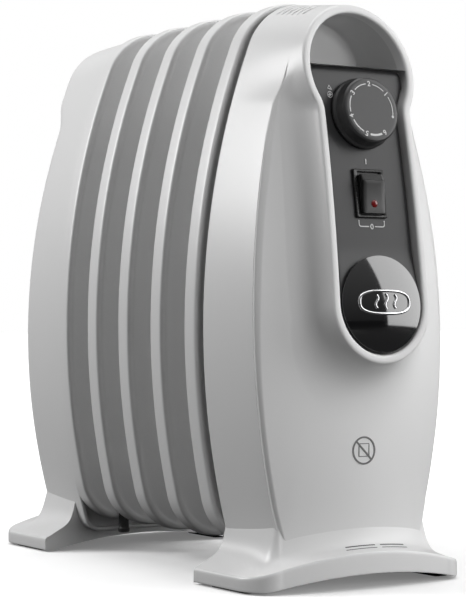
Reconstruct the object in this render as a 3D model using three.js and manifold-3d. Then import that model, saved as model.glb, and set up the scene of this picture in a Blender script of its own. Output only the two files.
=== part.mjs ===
// Personal oil filled radiator: a stack of five oil filled fins between a front
// cover, which carries the thermostat dial and the switch, and a rear cover.
// Millimetres, +Z up, the front cover faces -Y. Inside this file Y is counted from
// the rear edge of the foremost fin; the last lines move the origin to the floor
// under the middle of the object.

import * as THREE from "three";
import { mergeVertices } from "three/addons/utils/BufferGeometryUtils.js";
import Module from "manifold-3d";

const wasm = await Module();
wasm.setup();

// ---------------------------------------------------------------- driving sizes

// fin outline seen from the front: two big side arcs, a round top, round lower corners
const finHalfWidth = 76.4;
const finWidestHeight = 160;
const finSideRadius = 486;
const finTopRadius = 45;
const finBottomRadius = 36;
const finBottom = 22;

// fin stack
const finCount = 5;
const finPitch = 42;
const finDepth = 12.5;
const finEdgeRoll = 4.5;
const sheetThickness = 1.2;
const channelDepth = 6;
const channelHalfWidth = 27;

// oil hubs that join the fins
const hubRadius = 23;
const hubWall = 1.6;
const lowerHubHeight = 64;
const upperHubHeight = 298;

// covers
const wall = 2.6;
const coverInset = 2;
const frontGap = 18.6;
const rearGap = 0.6;
const coverBottom = 30;
const coverBottomRadius = 16;
const creaseInset = 2.4;
const creaseDepth = 56;
const creaseDepthHeight = 95;
const creaseBow = 1980;
const frontCrown = 12;
const rearCrown = 13;
const rearExtraDepth = 1.5;

// keyhole shaped opening in the front cover, and its rim
const faceReach = 92.9;
const faceRadius = 1158;
const faceForeHeight = 60;
const headHeight = 318;
const headRadius = 36.5;
const neckFillet = 22;
const neckHalfWidth = 29.7;
const lowerEndHeight = 174;
const lowerEndRadius = 31;
const rimWidth = 5.6;
const rimRounding = 2;
const panelTop = 322;
const gripDepth = 50;
const ventPitch = 5.6;
const ventWidth = 2.2;
const ventHalfLength = 21;
const ventCount = 6;

// control panel and what sits on it
const panelRecess = 2.2;
const panelThickness = 2.8;
const panelCorner = 5;
const dialHeight = 291.5;
const dialRadius = 20.4;
const dialSkirtRadius = 22.4;
const dialRise = 10.5;
const dialLift = 0.6;
const spindleRadius = 3;
const switchHeight = 241.5;
const bezelWidth = 24.4;
const bezelHeight = 30.8;
const bezelRise = 2;
const switchDepth = 24;
const rockerWidth = 16.6;
const rockerLength = 24.4;
const rockerTilt = 9;
const lensRadius = 2.8;
const badgeRadius = 29.6;
const badgeRise = 6;
const emblemWidth = 40;
const emblemHeight = 16;

// feet
const footHalfWidth = 81.1;
const footEndTop = 9.6;
const footSkirtRise = 13;
const footArmRise = 24;
const footArmWidth = 24;
const footArch = 9;
const footCorner = 17;
const footBulge = 5;
const frontFootLength = 79;
const rearFootLength = 86;
const rearFootStart = 10;
const padHeight = 1.2;
const padLength = 40;
const padWidth = 11;

// fixings
const screwRadius = 2;
const screwHeadRadius = 4;
const bossRadius = 5;
const coverScrewX = 38;
const coverScrewHeight = 130;
const bracketThickness = 1.5;

// fits
const gap = 0.3;
const looseFit = 0.5;

// how finely the round outlines are divided
const coverSteps = 40;
const keyholeSteps = 64;
const finSteps = 28;
const roundSteps = 14;

// ---------------------------------------------------------------- worked out sizes

const finY = (i) => i * finPitch;
const frontSeamY = -frontGap;
const rearSeamY = finY(finCount - 1) + rearGap;
const sideCentre = finSideRadius - finHalfWidth;
const topCentre = finWidestHeight + Math.sqrt((finSideRadius - finTopRadius) ** 2 - sideCentre ** 2);

// the rim's front face is part of a large cylinder about a sideways axis
const foremostY = frontSeamY - faceReach;
const faceY = (z) => foremostY + (z - faceForeHeight) ** 2 / (2 * faceRadius);
const faceLean = (z) => Math.atan((z - faceForeHeight) / faceRadius);

// how far the crease between a cover's side and its face lies from the seam
const creaseAway = (z) => creaseDepth - (z - creaseDepthHeight) ** 2 / (2 * creaseBow);

const mix = THREE.MathUtils.lerp;
const smoothStep = (low, high, v) => THREE.MathUtils.smoothstep(v, low, high);
const at = (x, y, z) => new THREE.Vector3(x, y, z);

// radius of a faceted hole whose flats clear a bar of the given radius
const holeRadius = (radius, steps = roundSteps) => (radius + gap) / Math.cos(Math.PI / steps);

const materials = {
  whitePlastic: new THREE.MeshStandardMaterial({ color: 0xdedede, roughness: 0.45 }),
  whitePaint: new THREE.MeshStandardMaterial({ color: 0xdcdcdc, roughness: 0.5 }),
  darkPlastic: new THREE.MeshStandardMaterial({ color: 0x3a3a3c, roughness: 0.55 }),
  blackGloss: new THREE.MeshStandardMaterial({ color: 0x0c0c0d, roughness: 0.08 }),
  blackRubber: new THREE.MeshStandardMaterial({ color: 0x161616, roughness: 0.85 }),
  chrome: new THREE.MeshStandardMaterial({ color: 0xd8d8d8, roughness: 0.1, metalness: 1 }),
  steel: new THREE.MeshStandardMaterial({ color: 0xa9abad, roughness: 0.4, metalness: 1 }),
  brass: new THREE.MeshStandardMaterial({ color: 0xb8933f, roughness: 0.35, metalness: 1 }),
  ceramic: new THREE.MeshStandardMaterial({ color: 0xe6e0d0, roughness: 0.6 }),
  redLens: new THREE.MeshStandardMaterial({ color: 0x6a0d10, roughness: 0.15 }),
  brownWire: new THREE.MeshStandardMaterial({ color: 0x5a3520, roughness: 0.6 }),
  blueWire: new THREE.MeshStandardMaterial({ color: 0x274a8c, roughness: 0.6 }),
  greenWire: new THREE.MeshStandardMaterial({ color: 0x4d8a2c, roughness: 0.6 }),
};

const radiator = new THREE.Group();
radiator.name = "radiator";

// ---------------------------------------------------------------- solid helpers

function toSolid(geometry) {
  const bare = geometry.index ? geometry.toNonIndexed() : geometry.clone();
  bare.deleteAttribute("normal");
  bare.deleteAttribute("uv");
  const merged = mergeVertices(bare, 1e-4);
  const corners = new Uint32Array(merged.index.array);
  const build = () =>
    new wasm.Manifold(
      new wasm.Mesh({ numProp: 3, vertProperties: merged.attributes.position.array, triVerts: corners }),
    );
  const made = build();
  if (made.volume() > 0) return made;
  for (let i = 0; i < corners.length; i += 3) {
    [corners[i + 1], corners[i + 2]] = [corners[i + 2], corners[i + 1]];
  }
  return build();
}

function toGeometry(solid) {
  const mesh = solid.getMesh();
  const geometry = new THREE.BufferGeometry();
  geometry.setAttribute("position", new THREE.BufferAttribute(mesh.vertProperties, 3));
  geometry.setIndex(new THREE.BufferAttribute(mesh.triVerts, 1));
  return geometry;
}

function addPiece(name, solid, material, parent = radiator) {
  const mesh = new THREE.Mesh(toGeometry(solid), material.clone());
  mesh.name = name;
  parent.add(mesh);
  return mesh;
}

// A solid through rings of points. Every ring starts at the top centre and is its
// own mirror image about X = 0, so both ends are closed by level strips.
function loft(rings) {
  const n = rings[0].length;
  const index = [];
  for (let r = 0; r < rings.length - 1; r++) {
    for (let i = 0; i < n; i++) {
      const a = r * n + i;
      const b = r * n + ((i + 1) % n);
      index.push(a, b, a + n, b, b + n, a + n);
    }
  }
  const last = (rings.length - 1) * n;
  for (let i = 0; i < n / 2; i++) {
    const a = i;
    const b = i + 1;
    const c = n - i - 1;
    const d = (n - i) % n;
    if (b !== c) index.push(a, c, b, last + a, last + b, last + c);
    if (a !== d) index.push(a, d, c, last + a, last + c, last + d);
  }
  const geometry = new THREE.BufferGeometry().setFromPoints(rings.flat());
  geometry.setIndex(index);
  return toSolid(geometry);
}

function boxSolid(x0, x1, y0, y1, z0, z1) {
  const geometry = new THREE.BoxGeometry(x1 - x0, y1 - y0, z1 - z0);
  geometry.translate((x0 + x1) / 2, (y0 + y1) / 2, (z0 + z1) / 2);
  return toSolid(geometry);
}

// round bar along Y
function barY(radius, x, z, y0, y1, steps = roundSteps) {
  const geometry = new THREE.CylinderGeometry(radius, radius, y1 - y0, steps);
  geometry.translate(x, (y0 + y1) / 2, z);
  return toSolid(geometry);
}

// round bar along Z
function barZ(radius, x, y, z0, z1, steps = roundSteps) {
  const geometry = new THREE.CylinderGeometry(radius, radius, z1 - z0, steps);
  geometry.rotateX(Math.PI / 2);
  geometry.translate(x, y, (z0 + z1) / 2);
  return toSolid(geometry);
}

// outline in X and Z, extruded along Y
function extrudeY(shape, y0, y1, curveSegments = 12) {
  const geometry = new THREE.ExtrudeGeometry(shape, { depth: y1 - y0, bevelEnabled: false, curveSegments });
  geometry.rotateX(Math.PI / 2);
  geometry.translate(0, y1, 0);
  return toSolid(geometry);
}

// outline in X and Y, extruded along Z
function extrudeZ(shape, z0, z1, curveSegments = 8) {
  const geometry = new THREE.ExtrudeGeometry(shape, { depth: z1 - z0, bevelEnabled: false, curveSegments });
  geometry.translate(0, 0, z0);
  return toSolid(geometry);
}

// round tube through a list of points
function tube(points, radius, sides = 8, steps = 24) {
  const section = new THREE.Shape();
  section.absarc(0, 0, radius, 0, 2 * Math.PI, false);
  const geometry = new THREE.ExtrudeGeometry(section, {
    steps,
    curveSegments: sides,
    bevelEnabled: false,
    extrudePath: new THREE.CatmullRomCurve3(points, false, "centripetal"),
  });
  return toSolid(geometry);
}

// solid turned about the local Z axis from a list of [radius, height]
function turned(profile, steps = 28) {
  const geometry = new THREE.LatheGeometry(
    profile.map(([r, h]) => new THREE.Vector2(r, h)),
    steps,
  );
  geometry.rotateX(Math.PI / 2);
  return toSolid(geometry);
}

const ringPoints = (shape, steps) => shape.getSpacedPoints(steps).slice(0, steps);
const ringAt = (points, yOf) => points.map((p) => at(p.x, yOf(p.y), p.y));

// ---------------------------------------------------------------- outlines

// Fin and cover outline: arcs that share their centres at every inset. The covers
// have their own bottom height and lower corners.
function bodyOutline(inset, bottom, bottomRadius) {
  const cornerZ = bottom + bottomRadius;
  const reach = Math.sqrt((finSideRadius - bottomRadius) ** 2 - (finWidestHeight - cornerZ) ** 2);
  const cornerX = reach - sideCentre;
  const upper = Math.atan2(topCentre - finWidestHeight, sideCentre);
  const lower = Math.atan2(cornerZ - finWidestHeight, reach);
  const side = finSideRadius - inset;
  const shape = new THREE.Shape();
  shape.absarc(0, topCentre, finTopRadius - inset, Math.PI / 2, upper, true);
  shape.absarc(-sideCentre, finWidestHeight, side, upper, lower, true);
  shape.absarc(cornerX, cornerZ, bottomRadius - inset, lower, -Math.PI / 2, true);
  shape.absarc(-cornerX, cornerZ, bottomRadius - inset, -Math.PI / 2, -Math.PI - lower, true);
  shape.absarc(sideCentre, finWidestHeight, side, -Math.PI - lower, -Math.PI - upper, true);
  shape.absarc(0, topCentre, finTopRadius - inset, Math.PI - upper, Math.PI / 2, true);
  return shape;
}

const coverRing = (inset) =>
  ringPoints(bodyOutline(coverInset + inset, coverBottom - coverInset, coverBottomRadius), coverSteps);

// Keyhole outline grown by an offset: a round head, a neck that turns in through a
// fillet, straight sides and a round lower end. The panel's outline is the same
// below the hand grip and has a straight top edge.
function keyholeOutline(offset, flatTop = false) {
  const filletX = neckHalfWidth + neckFillet;
  const drop = Math.sqrt((headRadius + neckFillet) ** 2 - filletX ** 2);
  const filletZ = headHeight - drop;
  const turn = Math.atan2(drop, filletX);
  const radius = headRadius + offset;
  const shape = new THREE.Shape();
  if (flatTop) {
    shape.moveTo(0, panelTop);
    shape.lineTo(radius - panelCorner, panelTop);
    shape.quadraticCurveTo(radius, panelTop, radius, headHeight - 1);
  }
  shape.absarc(0, headHeight, radius, flatTop ? -1 / radius : Math.PI / 2, -turn, true);
  shape.absarc(filletX, filletZ, neckFillet - offset, Math.PI - turn, Math.PI, false);
  shape.lineTo(lowerEndRadius + offset, lowerEndHeight);
  shape.absarc(0, lowerEndHeight, lowerEndRadius + offset, 0, -Math.PI, true);
  shape.lineTo(-neckHalfWidth - offset, filletZ);
  shape.absarc(-filletX, filletZ, neckFillet - offset, 0, turn, false);
  shape.absarc(0, headHeight, radius, Math.PI + turn, flatTop ? Math.PI + 1 / radius : Math.PI / 2, true);
  if (flatTop) {
    shape.quadraticCurveTo(-radius, panelTop, panelCorner - radius, panelTop);
    shape.lineTo(0, panelTop);
  }
  return shape;
}

// ---------------------------------------------------------------- fins

const portRadius = hubRadius - 6;
const webY = (i) => finY(i) - finDepth;
const plateY = (i) => webY(i) + sheetThickness + gap;

function withPorts(solid, y) {
  return [lowerHubHeight, upperHubHeight].reduce(
    (left, z) => left.subtract(barY(portRadius, 0, z, y - 10, y + 10)),
    solid,
  );
}

function channelSolid(grow, y0, y1) {
  const shape = new THREE.Shape();
  const radius = channelHalfWidth + grow;
  shape.absarc(0, upperHubHeight, radius, Math.PI, 0, true);
  shape.absarc(0, lowerHubHeight, radius, 0, -Math.PI, true);
  return extrudeY(shape, y0, y1, 8);
}

function addFin(i) {
  const outline = (inset) => ringPoints(bodyOutline(inset, finBottom, finBottomRadius), finSteps);
  const flat = (inset, y) => ringAt(outline(inset), () => y);
  const back = finY(i);
  const web = webY(i);
  const roll = finEdgeRoll;
  const t = sheetThickness;

  // front sheet: a shallow pan, open to the rear, with a rolled front edge
  const outer = loft([flat(0, back), flat(0, web + roll), flat(roll * 0.3, web + roll * 0.3), flat(roll, web)]);
  const inner = loft([
    flat(t, back + 1),
    flat(t, web + roll),
    flat(t + roll * 0.3, web + t + roll * 0.3),
    flat(t + roll, web + t),
  ]);
  addPiece(`fin_front_sheet_${i + 1}`, withPorts(outer.subtract(inner), web), materials.whitePaint);

  // back sheet: lies in the pan and is pressed out to form the oil channel
  const edge = t + roll + 2;
  const seat = plateY(i);
  const sheet = loft([flat(edge, seat + t), flat(edge, seat)])
    .add(channelSolid(0, seat, seat + channelDepth))
    .subtract(channelSolid(-t, seat - 1, seat + channelDepth - t));
  const last = i === finCount - 1;
  addPiece(`fin_back_sheet_${i + 1}`, last ? sheet : withPorts(sheet, seat), materials.whitePaint);
}

// welded ring that carries the oil from one fin to the next
function addHub(name, z, i) {
  const y0 = plateY(i) + channelDepth + gap;
  const y1 = webY(i + 1) - gap;
  const ring = barY(hubRadius, 0, z, y0, y1).subtract(barY(hubRadius - hubWall, 0, z, y0 - 1, y1 + 1));
  addPiece(name, ring, materials.whitePaint);
}

for (let i = 0; i < finCount; i++) addFin(i);
for (let i = 0; i < finCount - 1; i++) {
  addHub(`hub_upper_${i + 1}`, upperHubHeight, i);
  addHub(`hub_lower_${i + 1}`, lowerHubHeight, i);
}

// crimped filling tube under the rearmost fin
const fillTubeX = -33;
const fillTubeRadius = 3.5;
const fillTubeEnd = 14;
function addFillTube() {
  const y = webY(finCount - 1) - fillTubeRadius - gap;
  const pipe = barZ(fillTubeRadius, fillTubeX, y, fillTubeEnd + 2, finBottom + 16, 12);
  const tip = barZ(fillTubeRadius + 0.6, fillTubeX, y, fillTubeEnd, fillTubeEnd + 3.5, 12);
  const crimp = boxSolid(fillTubeX - 5, fillTubeX + 5, y - 0.6, y + 0.6, fillTubeEnd - 1, fillTubeEnd + 1.4);
  addPiece("fill_tube", pipe.add(tip).subtract(crimp), materials.blackRubber);
}
addFillTube();

// ---------------------------------------------------------------- heating element

const plugBack = webY(0) - gap;
const plugThickness = 5;
const plugRadius = hubRadius - 1;
const rodRadius = 4.2;
const rodSpread = 9;
const rodStart = plugBack - plugThickness - 3;
const rodEnd = finY(finCount - 1) - finDepth;
const terminalRadius = 2;
const terminalLength = 9;
const terminalFrontY = rodStart - gap - terminalLength;

function addHeatingElement() {
  let plug = barY(plugRadius, 0, lowerHubHeight, plugBack - plugThickness, plugBack, 6);
  for (const x of [-rodSpread, rodSpread]) {
    plug = plug.subtract(barY(holeRadius(rodRadius, 12), x, lowerHubHeight, plugBack - 20, plugBack + 20, 12));
  }
  addPiece("element_plug", plug, materials.steel);

  const middle = (rodStart + rodEnd) / 2;
  const z = lowerHubHeight;
  const rod = tube(
    [
      at(-rodSpread, rodStart, z),
      at(-rodSpread, middle, z),
      at(-rodSpread, rodEnd - rodSpread, z),
      at(0, rodEnd, z),
      at(rodSpread, rodEnd - rodSpread, z),
      at(rodSpread, middle, z),
      at(rodSpread, rodStart, z),
    ],
    rodRadius,
    4,
    22,
  );
  addPiece("heating_element", rod, materials.steel);
  for (const [pole, side] of [["live", -1], ["neutral", 1]]) {
    const pin = barY(terminalRadius, side * rodSpread, z, terminalFrontY, rodStart - gap, 10);
    addPiece(`element_terminal_${pole}`, pin, materials.steel);
  }
}
addHeatingElement();

const upperPlug = barY(portRadius + 3, 0, upperHubHeight, plugBack - 3, plugBack, 16);
addPiece("upper_hub_plug", upperPlug, materials.steel);

// ---------------------------------------------------------------- brackets and cover screws

const bracketHalfWidth = finTopRadius - 5;
const bracketLow = finBottom + 20;
const bracketHigh = topCentre + 2;
const frontBracketY = frontSeamY + 0.8;
const rearBracketY = plateY(finCount - 1) + channelDepth + gap;
const screwReach = 16;

const screwHoles = (solid, y0, y1) =>
  [-coverScrewX, coverScrewX].reduce(
    (left, x) => left.subtract(barY(holeRadius(screwRadius, 12), x, coverScrewHeight, y0, y1, 12)),
    solid,
  );

function addBrackets() {
  const plateAt = (y) =>
    screwHoles(
      boxSolid(-bracketHalfWidth, bracketHalfWidth, y, y + bracketThickness, bracketLow, bracketHigh),
      y - 5,
      y + 5,
    );
  const front = plateAt(frontBracketY)
    .subtract(barY(holeRadius(plugRadius), 0, lowerHubHeight, frontBracketY - 5, frontBracketY + 5))
    .subtract(barY(holeRadius(portRadius + 3), 0, upperHubHeight, frontBracketY - 5, frontBracketY + 5));
  addPiece("front_bracket", front, materials.steel);
  addPiece("rear_bracket", plateAt(rearBracketY), materials.steel);
}
addBrackets();

// screw along Y, its head at headY, the shank pointing along dir
function coverScrew(x, headY, dir) {
  const span = (a, b) => [Math.min(headY + dir * a, headY + dir * b), Math.max(headY + dir * a, headY + dir * b)];
  const head = barY(screwHeadRadius, x, coverScrewHeight, ...span(0, -2.4), 12);
  const shank = barY(screwRadius, x, coverScrewHeight, ...span(-1, screwReach), 12);
  return head.add(shank);
}
for (const [side, x] of [["left", -coverScrewX], ["right", coverScrewX]]) {
  const frontHead = frontBracketY + bracketThickness + gap;
  addPiece(`front_screw_${side}`, coverScrew(x, frontHead, -1), materials.steel);
  addPiece(`rear_screw_${side}`, coverScrew(x, rearBracketY - gap, 1), materials.steel);
}

// ---------------------------------------------------------------- feet

// Foot seen from the front: arched below, a level end and a top that either curves
// steeply up to the body (arm) or swells gently to the middle (skirt).
function footView(shrink, isArm) {
  const half = footHalfWidth - shrink;
  const top = footEndTop - shrink;
  const archHalf = footHalfWidth - padWidth - wall;
  const shape = new THREE.Shape();
  if (shrink) {
    shape.moveTo(-half, -footEndTop);
  } else {
    shape.moveTo(-half, padHeight);
    shape.lineTo(-archHalf, padHeight);
    shape.quadraticCurveTo(0, 2 * footArch, archHalf, padHeight);
  }
  shape.lineTo(half, shrink ? -footEndTop : padHeight);
  shape.lineTo(half, top);
  if (isArm) {
    const shoulder = footHalfWidth - footArmWidth;
    const waist = footHalfWidth - footArmWidth * 0.67;
    shape.quadraticCurveTo(waist, top + 4, shoulder, top + footArmRise);
    shape.lineTo(-shoulder, top + footArmRise);
    shape.quadraticCurveTo(-waist, top + 4, -half, top);
  } else {
    shape.quadraticCurveTo(0, top + 2 * footSkirtRise, -half, top);
  }
  return shape;
}

// Foot seen from above, from the line start to the line end, with round outer corners
function footPlan(shrink, start, end, dir) {
  const half = footHalfWidth - shrink;
  const radius = footCorner - shrink;
  const edge = end - dir * shrink;
  const shoulder = edge - dir * footBulge;
  const plan = new THREE.Shape();
  plan.moveTo(-half, start);
  plan.lineTo(-half, shoulder - dir * radius);
  plan.quadraticCurveTo(-half, shoulder, radius - half, shoulder + dir * footBulge * 0.4);
  plan.quadraticCurveTo(0, edge + dir * footBulge * 0.6, half - radius, shoulder + dir * footBulge * 0.4);
  plan.quadraticCurveTo(half, shoulder, half, shoulder - dir * radius);
  plan.lineTo(half, start);
  return plan;
}

function footSolid(shrink, start, end, dir) {
  const armEnd = end - dir * (footCorner + shrink);
  const between = (shape, a, b) => extrudeY(shape, Math.min(a, b), Math.max(a, b), 5);
  const open = shrink ? start - dir * wall * 2 : start;
  return between(footView(shrink, true), open, armEnd)
    .add(between(footView(shrink, false), open, end))
    .intersect(extrudeZ(footPlan(shrink, open, end, dir), -footEndTop, footEndTop * 5, 6));
}

// rubber pads pushed up into the ends of the feet
function addPads(place, start, dir) {
  const outer = footHalfWidth - wall - gap;
  const y0 = Math.min(start, start + dir * padLength);
  for (const [side, sign] of [["left", -1], ["right", 1]]) {
    const x0 = Math.min(sign * outer, sign * (outer - padWidth));
    const pad = boxSolid(x0, x0 + padWidth, y0, y0 + padLength, 0, footEndTop - wall - gap);
    addPiece(`${place}_pad_${side}`, pad, materials.blackRubber);
  }
}
const frontFootEnd = frontSeamY - frontFootLength;
const rearFootEnd = rearSeamY + rearFootLength;
const padSetback = footCorner + footBulge + wall;
addPads("front", frontFootEnd + padSetback, 1);
addPads("rear", rearFootEnd - padSetback, -1);

// ---------------------------------------------------------------- front cover

// Rings of the front cover: seam, side, crease, face, wall of the keyhole, rim.
// A thin value above zero gives the inside of the wall.
function frontCoverRings(thin) {
  const seam = coverRing(thin);
  const crease = coverRing(creaseInset + thin);
  const rim = ringPoints(keyholeOutline(rimWidth - thin), coverSteps);
  const top = ringPoints(keyholeOutline(rimWidth - rimRounding), coverSteps);
  const fill = thin ? panelRecess + panelThickness + 1 : rimRounding;
  const steps = [
    { distance: 20, height: 0.05 },
    { distance: 9, height: 0.34 },
    { distance: 3, height: 0.74 },
  ];
  const rings = Array.from({ length: 4 + steps.length }, () => []);
  seam.forEach((s, i) => {
    const r = rim[i];
    const headShare = smoothStep(265, 325, r.y);
    const rimBack = faceY(r.y) + fill;
    const k = crease[i].clone().lerp(s.clone().lerp(r, 0.7), headShare);
    const kY = mix(frontSeamY - creaseAway(k.y) + thin, mix(frontSeamY, rimBack, 0.7), headShare);
    rings[0].push(at(s.x, frontSeamY + (thin ? 1 : 0), s.y));
    rings[1].push(at(mix(s.x, k.x, 0.5), mix(frontSeamY, kY, 0.6), mix(s.y, k.y, 0.5)));
    rings[2].push(at(k.x, kY, k.y));
    const away = k.distanceTo(r);
    const widest = Math.abs(k.x) + 1;
    steps.forEach(({ distance, height }, j) => {
      const share = Math.min(distance / away, 0.75 - j * 0.25);
      const p = r.clone().lerp(k, share);
      const crown = frontCrown * (1 - Math.min(Math.abs(p.x) / widest, 1) ** 2);
      const y = mix(mix(kY - crown, rimBack, height), mix(rimBack, kY, share), headShare);
      rings[3 + j].push(at(p.x, y, p.y));
    });
    rings[3 + steps.length].push(at(r.x, rimBack, r.y));
  });
  if (!thin) rings.push(ringAt(top, faceY));
  return rings;
}

// upper part of the keyhole, from the rim back into the head
function gripPocket(grow, backY) {
  const radius = headRadius + grow;
  const start = Math.asin((panelTop - headHeight - grow) / radius);
  const shape = new THREE.Shape();
  shape.absarc(0, headHeight, radius, start, Math.PI - start, false);
  return extrudeY(shape, foremostY - 5, backY, 16);
}

const gripBackY = faceY(panelTop) + gripDepth;
const glandRadius = 7;
const glandX = 30;
const glandY = frontSeamY - 28;

function ventSlots() {
  const cutter = (k) => {
    const y = frontSeamY - 9 - k * ventPitch;
    return boxSolid(-ventHalfLength, ventHalfLength, y - ventWidth / 2, y + ventWidth / 2, panelTop, 400);
  };
  const all = Array.from({ length: ventCount }, (_, k) => cutter(k));
  return all.reduce((a, b) => a.add(b)).subtract(gripPocket(wall + looseFit, gripBackY + wall + looseFit));
}

// screw bosses from y0 to y1, cut off at the outside of the cover
function bosses(body, y0, y1) {
  return [-coverScrewX, coverScrewX]
    .map((x) => barY(bossRadius, x, coverScrewHeight, y0, y1, 12))
    .reduce((a, b) => a.add(b))
    .intersect(body);
}

function addFrontCover() {
  const body = loft(frontCoverRings(0));
  const pocketWall = gripPocket(wall, gripBackY + wall).intersect(body);
  const panelBackY = faceY(panelTop) + panelRecess + panelThickness + 1;
  const keyhole = ringPoints(keyholeOutline(0), keyholeSteps);
  const opening = loft([ringAt(keyhole, () => panelBackY), ringAt(keyhole, () => foremostY - 5)]);
  const bossEnd = frontSeamY - gap;
  const solid = body
    .subtract(loft(frontCoverRings(wall)))
    .add(pocketWall)
    .subtract(gripPocket(0, gripBackY))
    .subtract(opening.intersect(boxSolid(-60, 60, foremostY - 6, 0, 100, panelTop)))
    .add(bosses(body, foremostY, bossEnd))
    .add(footSolid(0, frontSeamY, frontFootEnd, -1))
    .subtract(footSolid(wall, frontSeamY, frontFootEnd, -1))
    .subtract(barZ(holeRadius(glandRadius), glandX, glandY, 10, coverBottom + 20))
    .subtract(ventSlots());
  addPiece("front_cover", screwHoles(solid, bossEnd - screwReach, bossEnd + 1), materials.whitePlastic);
}
addFrontCover();

// ---------------------------------------------------------------- rear cover

function rearCoverRings(thin) {
  const seam = coverRing(thin);
  const crease = coverRing(creaseInset + thin);
  const rings = [[], [], [], [], []];
  const heart = (finWidestHeight + coverBottom) / 2;
  seam.forEach((s, i) => {
    const k = crease[i];
    const kY = rearSeamY + creaseAway(k.y) + rearExtraDepth - thin;
    rings[0].push(at(s.x, rearSeamY - (thin ? 1 : 0), s.y));
    rings[1].push(at(mix(s.x, k.x, 0.5), mix(rearSeamY, kY, 0.6), mix(s.y, k.y, 0.5)));
    rings[2].push(at(k.x, kY, k.y));
    [0.16, 0.42].forEach((share, j) => {
      const x = k.x * (1 - share);
      const z = mix(k.y, Math.min(Math.max(k.y, heart), topCentre), share);
      rings[3 + j].push(at(x, kY + rearCrown * (1 - (1 - share) ** 2), z));
    });
  });
  return rings;
}

function addRearCover() {
  const body = loft(rearCoverRings(0));
  const bossStart = rearBracketY + bracketThickness + gap;
  const footStart = rearSeamY + rearFootStart;
  const behindSeam = boxSolid(-finHalfWidth, finHalfWidth, bossStart, rearSeamY + 1, coverBottom, topCentre);
  const solid = body
    .subtract(loft(rearCoverRings(wall)))
    .add(bosses(body.add(behindSeam), bossStart, rearFootEnd))
    .add(footSolid(0, footStart, rearFootEnd, 1))
    .subtract(footSolid(wall, footStart + 3 * wall, rearFootEnd, 1));
  const drilled = screwHoles(solid, bossStart - 1, bossStart + screwReach);
  addPiece("rear_cover", drilled, materials.whitePlastic);
}
addRearCover();

// ---------------------------------------------------------------- control panel

// frame of a part on the panel: local Z points out of the panel, local Y up
function panelFrame(z) {
  const frame = new THREE.Group();
  frame.position.set(0, faceY(z) + panelRecess, z);
  frame.rotation.x = Math.PI / 2 - faceLean(z);
  frame.updateMatrix();
  return frame;
}
const inPanelFrame = (solid, z) => solid.transform(panelFrame(z).matrix.toArray());
const panelPoint = (z, x, y, depth) => at(x, y, -depth).applyMatrix4(panelFrame(z).matrix);

const collarRadius = spindleRadius + looseFit + 1.2;
const bodyWidth = bezelWidth - 3;
const bodyHeight = bezelHeight - 3.4;

function addControlPanel() {
  const points = ringPoints(keyholeOutline(-looseFit, true), keyholeSteps);
  const plate = loft([
    ringAt(points, (z) => faceY(z) + panelRecess + panelThickness),
    ringAt(points, (z) => faceY(z) + panelRecess),
  ]);
  const x = bodyWidth / 2 + gap;
  const y = bodyHeight / 2 + gap;
  const panel = plate
    .subtract(inPanelFrame(barZ(holeRadius(collarRadius, 16), 0, 0, -20, 20, 16), dialHeight))
    .subtract(inPanelFrame(boxSolid(-x, x, -y, y, -20, 20), switchHeight));
  addPiece("control_panel", panel, materials.darkPlastic);
}
addControlPanel();

// ---------------------------------------------------------------- badge

function addBadge() {
  const frame = panelFrame(lowerEndHeight);
  radiator.add(frame);
  const crest = badgeRise - 0.4;
  const dome = turned([
    [0, gap],
    [badgeRadius, gap],
    [badgeRadius, badgeRise * 0.45],
    [badgeRadius * 0.9, badgeRise * 0.68],
    [badgeRadius * 0.6, badgeRise * 0.87],
    [0, crest],
  ]);
  addPiece("badge_dome", dome, materials.blackGloss, frame);

  // oval ring round three heat waves
  const band = 1.6;
  const thickness = { depth: 0.9, bevelEnabled: false, curveSegments: 10 };
  const ring = new THREE.Shape();
  ring.absellipse(0, 0, emblemWidth / 2, emblemHeight / 2, 0, 2 * Math.PI, false);
  const hole = new THREE.Path();
  hole.absellipse(0, 0, emblemWidth / 2 - band, emblemHeight / 2 - band, 0, 2 * Math.PI, true);
  ring.holes.push(hole);
  let emblem = toSolid(new THREE.ExtrudeGeometry(ring, thickness));
  for (const x of [-7, 0, 7]) {
    const wave = new THREE.Shape();
    const reach = emblemHeight / 2 - band / 2 - Math.abs(x) * 0.07;
    const half = band / 2;
    wave.moveTo(x - half, -reach);
    wave.bezierCurveTo(x - half - 2.6, -reach / 3, x - half + 2.6, reach / 3, x - half, reach);
    wave.lineTo(x + half, reach);
    wave.bezierCurveTo(x + half + 2.6, reach / 3, x + half - 2.6, -reach / 3, x + half, -reach);
    emblem = emblem.add(toSolid(new THREE.ExtrudeGeometry(wave, { ...thickness, curveSegments: 4 })));
  }
  addPiece("badge_emblem", emblem, materials.chrome, frame).position.z = crest + gap;
}
addBadge();

// ---------------------------------------------------------------- dial and thermostat

const spindleDepth = 22;
const thermostatDepth = 26;
const plungerRadius = 1.6;
const plungerLength = 8;
const plungerTravel = 1.2;

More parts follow.
